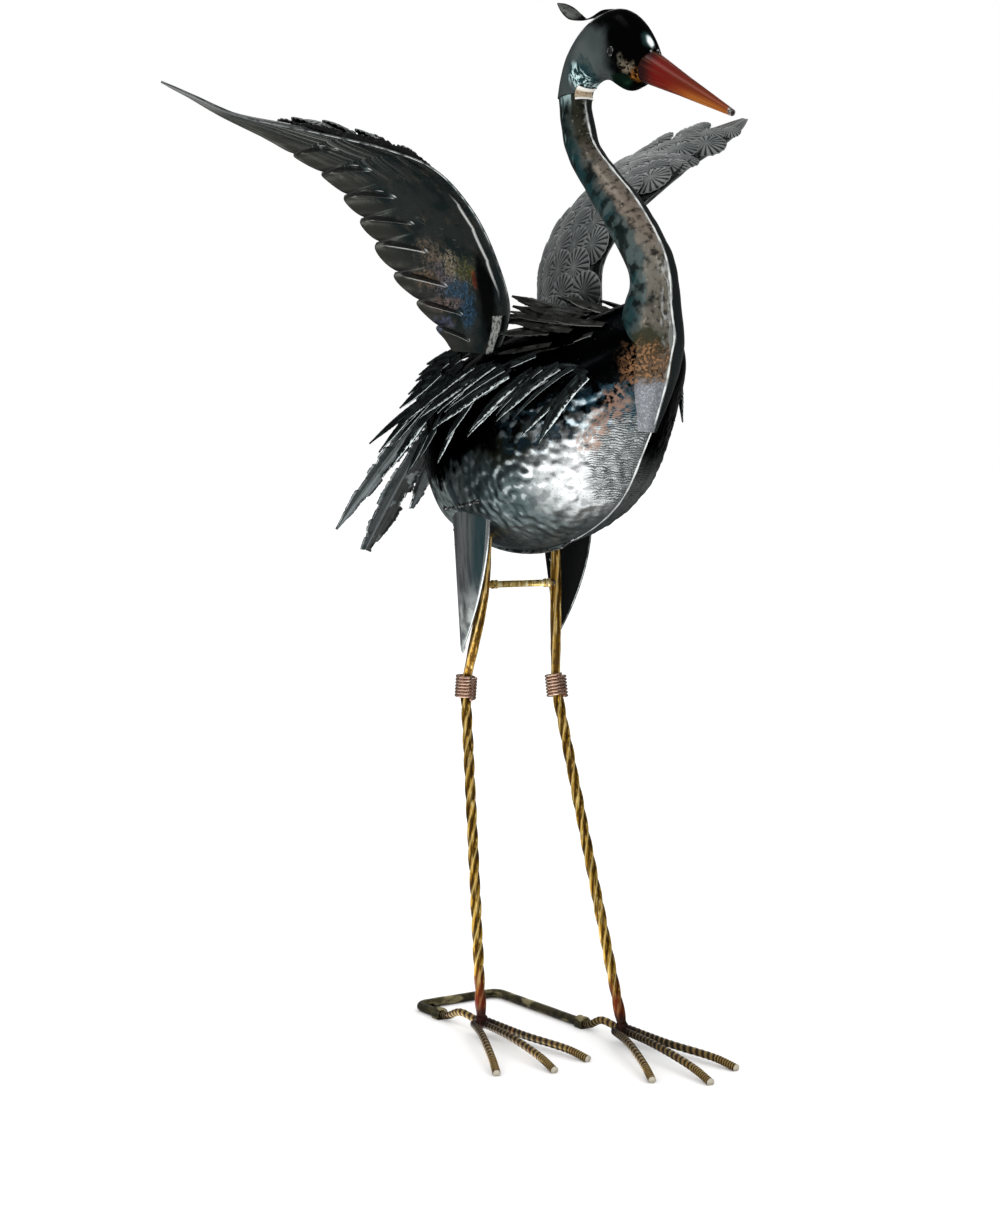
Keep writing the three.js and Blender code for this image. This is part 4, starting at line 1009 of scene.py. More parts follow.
# wings: one sheet each, whose rear edge is cut and pressed into fingers
wing = {
    "edges": [
        ((-9, 33, 400), (-53, 35, 404)), ((2.5, 32.5, 425), (-66, 43, 425)),
        ((-2.8, 38.5, 455), (-86, 56, 453)), ((-0.6, 55.7, 480), (-92.5, 71, 480)),
        ((0.6, 80, 500), (-92, 91, 501)), ((-12, 103, 511), (-98.5, 110.5, 515)),
        ((-38, 132, 520.5), (-104, 130, 526))],
    "tip": {
        "left": [((-52, 168, 537), (-88, 158, 544)), ((-63, 192, 550), (-78, 185, 554)),
                 ((-66, 199.9, 558), (-69, 198, 559))],
        "right": [((-67, 162, 530), (-106, 158, 537)), ((-86, 186, 543), (-103, 181, 546)),
                  ((-97.5, 199.6, 551), (-99, 198, 551))]},
    "camber": 7, "fingerReach": 0.115, "notch": 0.05, "slant": 0.11,
    "cuts": [0.0, 0.085, 0.15, 0.215, 0.285, 0.345, 0.41, 0.49, 0.58, 0.68, 0.79, 2.0],
    "pit": 1.2, "lip": 0.8, "bulge": 1.1, "blob": 0.5, "ridge": 0.42, "ridges": 5.5, "rim": 0.55, "stud": 0.35,
    "studs": [(0.279, 0.46), (0.253, 0.35), (0.308, 0.55)], "studReach": (0.0085, 0.022), "studWall": 0.12,
    "span": 400, "chord": 78, "gauge": 0.9, "fine": {"span": (0.8, 0.62), "chord": (0.34, 0.56)},
    "tab": {"top": 0.10, "front": 0.07, "back": 0.23, "lift": 1.9},
}


def wingSheetOf(edges, side):
    leadAt = stationsOf([lead for lead, trail in edges])
    trailAt = stationsOf([trail for lead, trail in edges])

    # plain leaves out the lobes and the embossing
    def surface(u, v, plain=False):
        lead, trail = Vector(leadAt(u)), Vector(trailAt(u))
        after, before = Vector(leadAt(min(u + 0.01, 1))), Vector(leadAt(max(u - 0.01, 0)))
        chord = trail - lead
        upward = (after - before).cross(chord).normalized()
        reach, relief = 1.0, 0.0
        if not plain:
            phase, formed = fingerAt(u)
            lobe = max(math.sin(math.pi * (1 - phase) ** 0.72), 0) ** 0.55
            reach = 1 + formed * (wing["fingerReach"] * lobe - wing["notch"])
            relief = embossing(u, v)[0]
        bulge = wing["camber"] * smooth(chord.length, 15, 90) * 4 * v * (1 - v) + relief
        return onSide(lead + chord * (v * reach) + upward * bulge, side)

    return surface


# place across a finger, 0 at its root side and 1 at the next cut, and how far fingers are formed there
def fingerAt(u, v=1.0):
    u = u + wing["slant"] * (1 - v)
    cuts = wing["cuts"]
    k = max(i for i in range(len(cuts) - 1) if u >= cuts[i] or i == 0)
    phase = min(max((u - cuts[k]) / (cuts[k + 1] - cuts[k]), 0), 1)
    return phase, smooth(u, 0.03, 0.08) * (1 - smooth(u, 0.56, 0.72))


def ridge(value, centre, width):
    return math.exp(-((value - centre) / width) ** 2)


def between(value, low, high):
    return smooth(value, low - 0.02, low + 0.02) * (1 - smooth(value, high - 0.04, high + 0.04))


# height of the embossing, and the tone of its painted light: 1 a painted highlight on a rim, -1 painted shade
# in a hollow
def embossing(u, v):
    phase, formed = fingerAt(u, v)
    # place across the nearest cut, which is pressed as a long hollow with a rim on each side
    across = phase if phase < 0.5 else phase - 1
    lip = ridge(across, -0.08, 0.05) * between(v, 0.655, 0.93)
    pit = ridge(across, 0.03, 0.06) * between(v, 0.66, 0.90)
    upper = ridge(across, 0.14, 0.042) * between(v, 0.68, 0.85) * mix(0.35, 1, smooth(u, 0.3, 0.42))
    blob = ridge(across, 0.02, 0.09) * ridge(v, 0.635, 0.014)
    bulge = math.sin(math.pi * phase ** 1.3) * smooth(v, 0.6, 0.8)
    outward = smooth(u, 0.5, 0.72) * (1 - smooth(u, 0.93, 1))
    ridges = outward * math.sin(v * 2 * math.pi * wing["ridges"] + 2 * u)
    edge = ridge(v, 0.015, 0.02)
    fold = ridge(v, 0.12, 0.022) * smooth(0.42 - u, 0, 0.1) * smooth(u, 0.08, 0.2)
    # small rings pressed into the sheet
    studs = 0
    for studU, studV in wing["studs"]:
        away = (((u - studU) / wing["studReach"][0]) ** 2 + ((v - studV) / wing["studReach"][1]) ** 2) ** 0.5
        studs += math.exp(-(away - 1) ** 2 / wing["studWall"])
    finger = wing["lip"] * (lip + upper) - wing["pit"] * pit + wing["blob"] * blob + wing["bulge"] * bulge
    height = formed * finger + wing["ridge"] * ridges + wing["rim"] * (edge + fold) + wing["stud"] * studs
    # painted shade under the finger above and in the hollow; painted highlight on lips, blobs, ridges, edge,
    # fold and studs
    under = (1 - smooth(phase, 0.05, 0.40)) * smooth(v, 0.70, 0.78)
    lit = formed * (lip * (1 - 0.35 * smooth(v, 0.8, 0.95)) + 0.8 * blob + 0.9 * upper)
    lit += 0.3 * max(ridges, 0) * smooth(v, 0.1, 0.3)
    dark = formed * (1.1 * pit + 0.6 * under)
    return height, max(-1, min(1, lit + 0.45 * edge + 0.9 * fold + 0.42 * studs - dark))


# more steps where the fingers are
def wingSpread(u, v):
    spots = []
    for value, (share, end) in ((u, wing["fine"]["span"]), (v, wing["fine"]["chord"])):
        spots.append(end * value / share if value < share else mix(end, 1, (value - share) / (1 - share)))
    return spots


wingSurfaces = {}
for sideName, side in sides:
    surface = wingSheetOf(wing["edges"] + wing["tip"][sideName], side)
    wingSurfaces[sideName] = surface
    bm = newShape()
    addGrid(bm, wing["span"], wing["chord"], surface, tone=lambda u, v: embossing(u, v)[1], spread=wingSpread)
    addPiece("wingSheet_" + sideName, turnFaces(bm), wingSheet, "wing_sheet", ["wing_" + sideName],
             sheet=wing["gauge"], edge=cutEdge)

    # root bracket
    def tabSurface(u, v):
        tab = wing["tab"]
        place = surface(u * tab["top"], mix(tab["front"], tab["back"], v), True)
        return place + Vector((0, side * tab["lift"], 0))

    gridPiece("wingBracket_" + sideName, 24, 8, tabSurface, bracketFinish(), "wing_bracket",
              ["wing_tab_" + sideName], sheet=1.0, edge=cutEdge)
print("wing sheets made")

# round fan scales over the inner face of each wing
fans = {
    "pitch": 20.0, "rowPitch": 14.0, "radius": 12.8, "grooves": 17, "rings": 4, "dome": 1.9,
    "grooveDepth": 0.65, "lift": 2.0, "rowLift": 0.8, "tilt": 0.15, "gauge": 0.45, "from": 0.06,
    "right": {"end": 0.64, "front": 0.27, "back": 0.74}, "left": {"end": 0.84, "front": 0.13, "back": 1.0},
}


def addFan(bm, centre, normal, toward, radius, rng):
    across = normal.cross(toward).normalized()
    ahead = across.cross(normal)
    spin = rng.uniform(0, 1)
    sectors = fans["grooves"] * 3
    squash = rng.uniform(0.94, 1.04)

    def isGroove(v):
        return round(v * sectors) % 3 == 0

    def place(u, v):
        angle = (v + spin) * 2 * math.pi
        r = max(u, 1e-4) * radius * (1 - 0.02 * isGroove(v) * u)
        rise = fans["dome"] * (1 - u * u) - fans["grooveDepth"] * isGroove(v) * smooth(u, 0.05, 0.5)
        rise += fans["tilt"] * radius * (u * math.cos(angle) + 0.6)
        return centre + ahead * (r * math.cos(angle)) + across * (r * math.sin(angle) * squash) + normal * rise

    addGrid(bm, fans["rings"], sectors, place, tone=lambda u, v: float(isGroove(v)) * smooth(u, 0.0, 0.3))


# rows from the tip inward, every second one set half a fan further back
def addFans(bm, surface, side, rng, end, front, back):
    line = [surface(mix(fans["from"], end, k / 20), 0.4, True) for k in range(21)]
    rows = round(sum((after - before).length for before, after in zip(line, line[1:])) / fans["rowPitch"])
    for row in range(rows, -1, -1):
        u = mix(fans["from"], end, row / rows)
        chordLength = (surface(u, back, True) - surface(u, front, True)).length
        count = max(round(chordLength / fans["pitch"]), 1)
        for k in range(count + (row % 2 == 0)):
            v = mix(front, back, min((k + row % 2 / 2) / count, 1))
            spanwise = surface(u + 0.01, v, True) - surface(u - 0.01, v, True)
            chordwise = surface(u, v + 0.01, True) - surface(u, v - 0.01, True)
            normal = spanwise.cross(chordwise).normalized() * side
            centre = surface(u, v, True) + normal * (fans["lift"] + fans["rowLift"] * (row % 2))
            addFan(bm, centre, normal, spanwise, fans["radius"] * min(1, chordLength / 40), rng)


rng = random.Random(7)
for sideName, side in sides:
    bm = newShape()
    addFans(bm, wingSurfaces[sideName], side, rng, **fans[sideName])
    weld(bm)
    addPiece("fanScales_" + sideName, turnFaces(bm), fanScale, "wing_scale", ["wing_scales_" + sideName],
             sheet=fans["gauge"])
print("fan scales made")

# two dark saw-edged coverts above the leading edge, free at their outer ends
coverts = {
    "runs": [(0.50, 0.70), (0.44, 0.605)], "height": 4.6, "lean": (0.2, 0.1, 1), "clear": 0.5, "free": 2.4,
    "tooth": 2.2, "gauge": 0.6,
}
covertBlack = Finish("covert_black", (0.008, 0.008, 0.008), 0.4, 0.5)
covertBlack.paint(covertBlack.patches(3, 0.55, 0.7), (0.04, 0.04, 0.04), 0.4)
covertBlack.uneven(1.5, 0.2, 0.5)
covertBlack = covertBlack.done()
for sideName, side in sides:
    surface = wingSurfaces[sideName]
    bm = newShape()
    for start, end in coverts["runs"]:
        def covertSurface(u, v):
            place = surface(mix(start, end, u), 0.02, True)
            saw = noise.noise(Vector((u * 60 / coverts["tooth"], start * 90, 0)))
            tooth = 1 - 0.5 * (0.5 + saw) * smooth(v, 0.6, 1)
            tall = coverts["height"] * smooth(u, -0.1, 0.5) * smooth(1.1 - u, 0, 0.4) * tooth
            rise = tall * v + coverts["clear"] + coverts["free"] * smooth(u, 0.55, 1)
            return place + onSide(coverts["lean"], side) * rise
        addGrid(bm, 110, 4, covertSurface)
    addPiece("wingCoverts_" + sideName, bm, covertBlack, "wing_scale", sheet=coverts["gauge"])
print("wings made")

# feathers on the body
# rows across the back: place along the body's outline, half width, feathers, their length and width,
# how much they fan out, and how steeply they lift
backRows = {
    "mantle_1": (0.866, 0.26, 3, 46, 12, 0.2, 0.36), "mantle_2": (0.841, 0.24, 3, 52, 13, 0.1, 0.24),
    "mantle_3": (0.813, 0.2, 3, 52, 13, 0, 0.24), "mantle_4": (0.786, 0.2, 3, 56, 13, 0, 0.2),
    "mantle_5": (0.758, 0.24, 3, 60, 13, 0.3, 0.14), "rump_1": (0.724, 0.56, 6, 66, 12, 0.3, 0.13),
    "rump_2": (0.694, 0.17, 3, 54, 11, 0.5, 0.05),
}
flankRows = {
    "shoulder": {"from": (1.02, 0.6), "to": (0.912, 0.84), "count": 3, "leftCount": 2, "length": 45,
                 "width": 7.5, "aim": (-0.78, 0.2, -0.58), "tilt": 0.08, "bend": 0.24, "fillers": 1},
    "flank": {"from": (0.85, 0.85), "to": (0.706, 0.68), "count": 4, "leftCount": 4, "length": 58,
              "width": 10, "aim": (-0.8, 0.05, -0.52), "tilt": 0.1, "bend": 0.15, "fillers": 2},
}
feather = {
    "widths": [0.85, 1, 0.9, 0.1], "droop": 0.06, "clear": 1.4, "band": 5, "gauge": 0.6,
    "barb": 2.1, "tear": 13, "fold": 0.12, "notch": 0.16, "shaft": 0.35, "steps": 60,
}
# the narrower feathers of a row; the ranges are shares of the main ones' length, width and lift
filler = {
    "widths": [0.8, 1, 0.8, 0.15], "fold": 0.25, "notch": 0.2, "raise": 0.8, "turn": 0.12,
    "lengths": (0.72, 0.95), "breadths": (0.42, 0.6), "lifts": (0.75, 1.1),
}


def bodyFrame(t, across, aim):
    base = bodyPoint(t, across)
    forward = bodyPoint(t - 2e-3, across) - bodyPoint(t + 2e-3, across)
    out = forward.cross(bodyPoint(t, across + 2e-3) - bodyPoint(t, across - 2e-3)).normalized()
    if out.dot(base - body["centre"]) < 0:
        out.negate()
    return base, out, (aim - out * aim.dot(out)).normalized()


# one feather from its root; lit is the side, 1 or -1, whose edge gets the painted highlight, bend curves it
# sideways
def addFeather(bm, root, run, out, spec, rng, lit=1, tone=None, bend=0.0):
    across = run.cross(out).normalized()
    shade = rng.uniform(0, 1) if tone is None else tone
    shift = Vector((rng.uniform(0, 50), rng.uniform(0, 50), 0))
    bend += rng.uniform(-0.03, 0.03)
    spec = {**feather, **spec}
    length = spec["length"]

    def place(u, v):
        offset = v * 2 - 1
        half = (spec["width"] / 2) * along(spec["widths"], u)
        barb = noise.noise(shift + Vector((u * length / spec["barb"], offset, 0)))
        edge = 1 - spec["notch"] * (0.5 + barb) * smooth(u, 0.05, 0.2)
        if "torn" in spec:
            tear = noise.noise(shift + Vector((u * length / spec["tear"], 7 * offset, 5)))
            edge -= spec["torn"] * smooth(tear, 0.02, 0.06)
        rise = length * u * (spec["tilt"] - spec["droop"] * u) - abs(offset) * half * spec["fold"]
        rise += spec["shaft"] * smooth(1 - abs(offset), 0.75, 1.0)
        side = half * offset * mix(1, edge, smooth(abs(offset), 0.6, 1.0))
        return root + run * (length * u) + out * rise + across * (side + bend * length * u * u)

    def toneAt(u, v):
        return shade * smooth((v * 2 - 1) * lit, 0.1, 0.5)

    addGrid(bm, spec["steps"], 8, place, tone=toneAt)


# a feather between two points, leaning out the way given
def addQuill(bm, root, tip, width, lean, clear, shape, rng, side, light, bend=0.0):
    start, end = onSide(root, side), onSide(tip, side)
    run = (end - start).normalized()
    out = onSide(lean, side)
    out = (out - run * run.dot(out)).normalized()
    spec = dict(shape, length=(end - start).length, width=width, fold=0.3)
    addFeather(bm, start + out * clear, run, out, spec, rng, lit=side, tone=light, bend=bend * side)


def addFeatherPiece(name, bm, finish, replaces=()):
    addPiece(name, turnFaces(bm), finish, "feather_black", replaces, sheet=feather["gauge"], edge=featherEdge)


# a row on the band it is cut from, with narrower feathers between and over the main ones
def featherRow(name, row, finish, rng, side=0, fillers=1, lights=None):
    aim, count = row.get("aim"), row["count"]
    bend = row.get("bend", 0) * (side or 1)

    def placeAt(share):
        t = mix(row["from"][0], row["to"][0], share)
        across = mix(row["from"][1], row["to"][1], share)
        return bodyFrame(t, across, aim or Vector((-1, row["spread"] * across, 0)))

    def band(u, v):
        base, out, run = placeAt(u)
        return base + out * feather["clear"] + run * (feather["band"] * (v - 0.5))

    bm = newShape()
    addGrid(bm, 30, 2, band)
    for k in range(count):
        base, out, run = placeAt(k / (count - 1))
        shade = lights[k % len(lights)] if lights else None
        addFeather(bm, base + out * feather["clear"], run, out, row, rng, lit=side or 1, tone=shade, bend=bend)
    for k in range((count - 1) * fillers):
        share = (k + 0.5) / ((count - 1) * fillers)
        base, out, run = placeAt(share)
        run = (run + run.cross(out) * rng.uniform(-filler["turn"], filler["turn"])).normalized()
        length, width, tilt = (row[key] * rng.uniform(*filler[shares]) for key, shares in
                               (("length", "lengths"), ("width", "breadths"), ("tilt", "lifts")))
        slim = dict(filler, length=length, width=width, tilt=tilt)
        root = base + out * (feather["clear"] + filler["raise"])
        addFeather(bm, root, run, out, slim, rng, lit=side or 1, bend=bend)
    addFeatherPiece("feathers_" + name + "_cut", bm, finish, ["feathers_" + name])


featherEdge = Finish("feather_edge", (0.03, 0.03, 0.03), 0.4, 0.9)
featherEdge.paint(featherEdge.patches(5, 0.52, 0.62, 4), (0.30, 0.33, 0.33), 0.3)
featherEdge = featherEdge.done()
mantleFinish = featherFinish("feather_mantle", (0.040, 0.042, 0.038), (0.13, 0.135, 0.12), (0.30, 0.31, 0.29),
                             roughness=0.42)
flankFinish = featherFinish("feather_flank", (0.014, 0.017, 0.017), (0.085, 0.115, 0.118), (0.76, 0.84, 0.84))
rumpFinish = featherFinish("feather_rump", (0.07, 0.09, 0.094), (0.20, 0.25, 0.26), (0.62, 0.75, 0.77),
                           roughness=0.3)
rng = random.Random(21)
for name, (t, half, count, length, width, spread, tilt) in backRows.items():
    row = {"from": (t, -half), "to": (t, half), "count": count, "length": length, "width": width,
           "spread": spread, "tilt": tilt}
    featherRow(name, row, rumpFinish if "rump" in name else mantleFinish, rng)
for sideName, side in sides:
    for name, row in flankRows.items():
        # the left shoulder has one feather less, at its front
        count = row["leftCount"] if side > 0 else row["count"]
        skipped = (row["count"] - count) / (row["count"] - 1)
        (frontT, frontAcross), (rearT, rearAcross) = row["from"], row["to"]
        turned = dict(row, count=count, aim=onSide(row["aim"], side))
        turned["from"] = (mix(frontT, rearT, skipped), mix(frontAcross, rearAcross, skipped) * side)
        turned["to"] = (rearT, rearAcross * side)
        featherRow(f"{name}_{sideName}", turned, flankFinish, rng, side, row["fillers"], [0.95, 0.8, 1.0, 0.7])

# single feathers over the flank and beside the rump: root and tip on one side, width, light, sideways bend
flankQuills = [
    ((76, 35.5, 384), (43, 51, 359), 6.5, 0.95, 0.20), ((60, 45, 385), (28, 55, 372), 6, 0.7, 0.10),
    ((46, 46, 390), (1, 57.5, 360), 8, 0.95, 0.14), ((44, 42, 398), (6, 47, 391), 5, 0.6, 0.10),
    ((-4, 47, 390), (-30, 50, 375), 6, 0.6, 0.15), ((22, 50, 384), (-10, 55, 374), 6.5, 0.35, 0.15),
    ((-10, 55, 368), (-37.5, 53, 343), 7, 1.0, 0.15), ((4, 53, 379), (-24, 56, 355), 7, 0.4, 0.15),
    ((-50.4, 44, 376.4), (-104.4, 42, 339.9), 9, 1.0, 0.08),
    ((-46.6, 41, 384.4), (-140.1, 34, 353.2), 6.5, 0.15, 0.05),
    ((-65.2, 40, 380.2), (-125.1, 38, 348.3), 7, 0.6, 0.08),
    ((-57.4, 39, 391), (-104.8, 36, 372.5), 7, 0.5, 0.05),
    ((-55, 35, 398), (-90.7, 34, 387.9), 7, 0.5, 0.05), ((-50, 32, 402), (-92.6, 30, 392.8), 7, 0.3, 0.05),
    ((-60, 37, 394), (-98.7, 34, 380.9), 6, 0.6, 0.06), ((-36.5, 46, 375), (-69.3, 46, 343), 8, 0.3, 0.1),
    ((-61.2, 42, 363.7), (-93.7, 38, 333.9), 8, 0.3, 0.08), ((-30, 46, 384), (-78, 45, 358), 8, 0.2, 0.08),
    ((-46, 40, 389), (-88, 40, 368), 8, 0.25, 0.06), ((-72, 34, 372), (-112, 34, 345), 8, 0.2, 0.06),
    ((-40, 30, 404), (-84, 30, 398), 9, 0.3, 0.05), ((-44, 34, 400), (-90, 32, 386), 9, 0.55, 0.05),
    ((-36, 38, 396), (-80, 38, 378), 9, 0.2, 0.06), ((-62, 30, 392), (-116, 28, 366), 9, 0.4, 0.06),
    ((-70, 26, 388), (-128, 30, 356), 9, 0.3, 0.06)]
slender = {"widths": [0.5, 0.9, 1, 0.75, 0.15], "tilt": 0.1}
for sideName, side in sides:
    bm = newShape()
    # the foremost one is on the right only
    for root, tip, width, light, bend in flankQuills[side > 0:]:
        addQuill(bm, root, tip, width, (-0.15, 1, 0.25), 1.2, slender, rng, side, light, bend)
    addFeatherPiece("flankQuills_" + sideName, bm, flankFinish)

# raised single feathers on the shoulders, whose tips stand free beside the wing roots
mantleQuills = [
    ((22, 14, 425), (-18, 15, 435), 9, 0.2), ((52, 20, 417), (-14, 20, 428), 10, 0.15),
    ((70, 22, 414), (-6, 25, 424), 10, 0.3), ((69, 9, 421), (27, 11, 431), 8, 0.4),
    ((60, 26, 411), (8, 33, 417), 9, 0.2), ((76, 27, 409), (42, 34, 401), 9, 0.5),
    ((40, 30, 411), (-2, 36, 412), 9, 0.3), ((80, 22, 414), (36, 26, 418), 9, 0.35),
    ((30, 24, 417), (-22, 26, 421), 8, 0.25), ((66, 31, 405), (24, 41, 398), 8, 0.1),
    ((48, 35, 404), (8, 43, 400), 8, 0.1)]
broad = {"widths": [0.7, 1, 0.9, 0.2], "tilt": 0.05}
for sideName, side in sides:
    bm = newShape()
    for root, tip, width, light in mantleQuills:
        addQuill(bm, root, tip, width, (-0.1, 0.45, 1), 0.8, broad, rng, side, light)
    addFeatherPiece("mantleQuills_" + sideName, bm, mantleFinish)
print("feather rows made")

# tail: five folded feathers
tail = {
    "outer": {"root": (-93, 23, 376), "tip": (-158.7, 55, 297), "roll": 24, "width": 16,
              "widths": [0.7, 1, 1, 0.75, 0.1], "shade": 0.1},
    "inner": {"root": (-95, 12, 374), "tip": (-154, 38, 284), "roll": 24, "width": 20,
              "widths": [0.5, 0.8, 1, 1, 0.45], "shade": 0.9},
    "middle": {"root": (-98, 0, 376), "tip": (-150, -4, 309), "roll": 0, "width": 17,
               "widths": [0.6, 0.9, 1, 0.3], "shade": 0.2},
    "cut": {"tilt": 0.06, "fold": 0.2, "torn": 0.3, "steps": 120}, "gauge": 0.9,
}
tailVane = tailFinish()
rng = random.Random(5)


def tailPiece(name, spec, side):
    start, tip = onSide(spec["root"], side), onSide(spec["tip"], side)
    run = (tip - start).normalized()
    out = (up - run * run.z).normalized()
    out.rotate(Matrix.Rotation(math.radians(-side * spec["roll"]), 4, run))
    bm = newShape()
    addFeather(bm, start, run, out, dict(spec, length=(tip - start).length, **tail["cut"]), rng, lit=-side,
               tone=spec["shade"])
    addPiece("tailVane_" + name, turnFaces(bm), tailVane, "tail_feather", ["tail_" + name],
             sheet=tail["gauge"], edge=cutEdge)


for sideName, side in sides:
    for place in ("outer", "inner"):
        tailPiece(f"{sideName}_{place}", tail[place], side)
tailPiece("middle", tail["middle"], 1)
print("tail made")

# thigh plates, with the weld along their top
thighs = {
    "right": {"rear": (-59, -31, 315), "front": (-12, -36, 321), "tip": (-52, -29.5, 226)},
    "left": {"rear": (-59, 31, 315), "front": (-13, 36, 321), "tip": (-40, 30.5, 233)},
    "bulge": 5, "fullness": 2, "tipShare": 0.1, "roundFrom": 0.955, "gauge": 1.0,
    "welds": [((-60.7, -35, 311.7), 1.7), ((-51, -37.5, 312), 1.2), ((-46, -38.6, 312.2), 1.5),
              ((-15, -45, 316), 1.1), ((-9, -46, 317), 1.5)],
    "weldLine": [(-60, -35, 311.8), (-49.5, -38, 312), (-33.4, -42.2, 313.6), (-18.9, -44.9, 315.1),
                 (-8.9, -46, 317.1)],
}
for sideName, side in sides:
    rear, front, tip = (Vector(thighs[sideName][key]) for key in ("rear", "front", "tip"))

    def thighSurface(u, v):
        width = max(1 - u ** thighs["fullness"], thighs["tipShare"])
        rounded = max(1 - max((u - thighs["roundFrom"]) / (1 - thighs["roundFrom"]), 0) ** 2, 0.01) ** 0.5
        place = rear.lerp(tip, u) + (front - rear) * (width * (0.5 + (v - 0.5) * rounded))
        place.y += side * thighs["bulge"] * width * 4 * v * (1 - v)
        return place

    # the left plate, on the far side, takes the painted-shade finish
    gridPiece("thighSheet_" + sideName, 60, 24, thighSurface, thighFinish(side > 0), "thigh_sheet",
              ["thigh_plate_" + sideName], sheet=thighs["gauge"], edge=cutEdge)

bm = newShape()
for side in (1, -1):
    addDrops(bm, [(onSide(place, side), radius) for place, radius in thighs["welds"]], subdivisions=2)
    weldLine = curveThrough([onSide(place, side) for place in thighs["weldLine"]])
    addRod(bm, weldLine, 60, 8, lambda u, angle: 0.7 + 0.3 * math.sin(u * 70))
addPiece("thighWelds", closeShape(bm), weldDark, "thigh_sheet")

# the folded rim where the shells meet under the belly
rimFold = {"from": 0.30, "to": 0.50, "height": 2.6, "sink": 0.3, "lean": -1.2, "gauge": 1.1}


def rimSurface(u, v):
    t = mix(rimFold["from"], rimFold["to"], u)
    tall = rimFold["height"] * smooth(u, 0, 0.12) * smooth(1 - u, 0, 0.12)
    point = bodyPoint(t, 0)
    out = (point - body["centre"]).normalized()
    return point + out * (tall * v - rimFold["sink"]) + Vector((0, rimFold["lean"] * v, 0))


gridPiece("bellyRim", 90, 4, rimSurface, cutEdge, "body_steel", sheet=rimFold["gauge"], edge=weldDark)

# legs: twisted square bar above and below a wire-wrapped knee
legs = {
    "ankle": {"right": (-32, -29, 11), "left": (28, 30, 11)},
    "knee": {"right": (-58, -23, 205), "left": (-32, 24.7, 205)},
    "thighBend": {"right": (-37.5, -23.7, 262), "left": (-31.5, 24.3, 262)},
    "hip": {"right": (-31.5, -24, 312), "left": (-31, 24, 312)},
    "bar": 5.4, "twist": 56, "thighTwist": 300, "corner": 0.86, "kneeGap": 0.3,
    "wrapHeight": 15.2, "wrapTurns": 7, "wrapRadius": 5.75, "wire": 0.85, "wrapShift": 0.75,
}
legGold = goldFinish("leg_gold", (0.56, 0.31, 0.035), (0.055, 0.024, 0.004), (0.95, 0.72, 0.26),
                     red=(0.17, 0.022, 0.010))
thighGold = goldFinish("thigh_gold", (0.62, 0.34, 0.045), (0.12, 0.055, 0.010), (0.95, 0.72, 0.30))
copperWire = copperFinish()


# twisted square bar, whose tone puts a painted highlight on its corners and painted shade on its flats
def barPiece(name, node, line, pitch, steps, finish):
    length = lengthOf(line)

    # angle from the middle of the nearest flat
    def turned(u, angle):
        return (angle + u * length / pitch * 2 * math.pi) % (math.pi / 2) - math.pi / 4

    def reach(u, angle):
        flat = (legs["bar"] / 2) / math.cos(turned(u, angle))
        return min(flat, legs["bar"] / math.sqrt(2) * legs["corner"]) * (1 + 0.02 * math.sin(u * 41))

    def tone(u, v):
        return mix(-1, 1, abs(turned(u, v * 2 * math.pi)) / (math.pi / 4))

    rodPiece(name, line, steps, 32, reach, finish, "leg_gold", [node], reference=Vector((1, 0, 0)), tone=tone)


for sideName in ("right", "left"):
    foot, bend, forward, top = (Vector(legs[key][sideName]) for key in ("ankle", "knee", "thighBend", "hip"))
    lowerRun, upperRun = (bend - foot).normalized(), (forward - bend).normalized()
    kneeGap = legs["bar"] * legs["kneeGap"]
    shin = lineThrough([foot, bend - lowerRun * kneeGap])
    barPiece("lowerBar_" + sideName, "lower_leg_" + sideName, shin, legs["twist"], 190, legGold)
    thigh = curveThrough([bend + upperRun * kneeGap, forward, top])
    barPiece("upperBar_" + sideName, "upper_leg_" + sideName, thigh, legs["thighTwist"], 90, thighGold)

    wrapRun = (lowerRun + upperRun).normalized()
    inward = (upperRun - lowerRun).normalized()
    across = wrapRun.cross(inward).normalized()
    start = bend - wrapRun * (legs["wrapHeight"] / 2 - legs["wire"]) + inward * legs["wrapShift"]

    def helix(u):
        angle = u * legs["wrapTurns"] * 2 * math.pi
        lift = wrapRun * (u * (legs["wrapHeight"] - 2 * legs["wire"]))
        return start + lift + (inward * math.cos(angle) + across * math.sin(angle)) * legs["wrapRadius"]

    rodPiece("kneeWire_" + sideName, helix, legs["wrapTurns"] * 28, 10, lambda u, angle: legs["wire"],
             copperWire, "copper_wire", ["knee_wrap_" + sideName], reference=wrapRun)

# round bar between the legs, ringed near its ends and sunk a little into both
crossbar = {
    "right": (-36.9, -20.2, 267), "left": (-31.6, 20.6, 267), "radius": 2, "sink": 1.6,
    "ring": 2.7, "rings": (3.2, 5.6), "farRings": (6.2, 3.8),
}
barStart, barEnd = Vector(crossbar["right"]), Vector(crossbar["left"])
barRun = (barEnd - barStart).normalized()
barStart, barEnd = barStart - barRun * crossbar["sink"], barEnd + barRun * crossbar["sink"]
barLong = (barEnd - barStart).length
thin, thick = crossbar["radius"], crossbar["ring"]
profile = [(0, 0), (thin, 0)]
for start in (*crossbar["rings"], *(barLong - back for back in crossbar["farRings"])):
    profile += [(thin, start), (thick - 0.2, start + 0.15), (thick, start + 0.5), (thick, start + 1.1),
                (thick - 0.2, start + 1.45), (thin, start + 1.6)]
profile += [(thin, barLong), (0, barLong)]
barGold = goldFinish("bar_gold", (0.90, 0.68, 0.24), (0.46, 0.30, 0.08), (0.95, 0.86, 0.56))
turnedPiece("legBar", profile, 28, aimed(barStart, barRun), barGold, "leg_gold", ["leg_crossbar"])

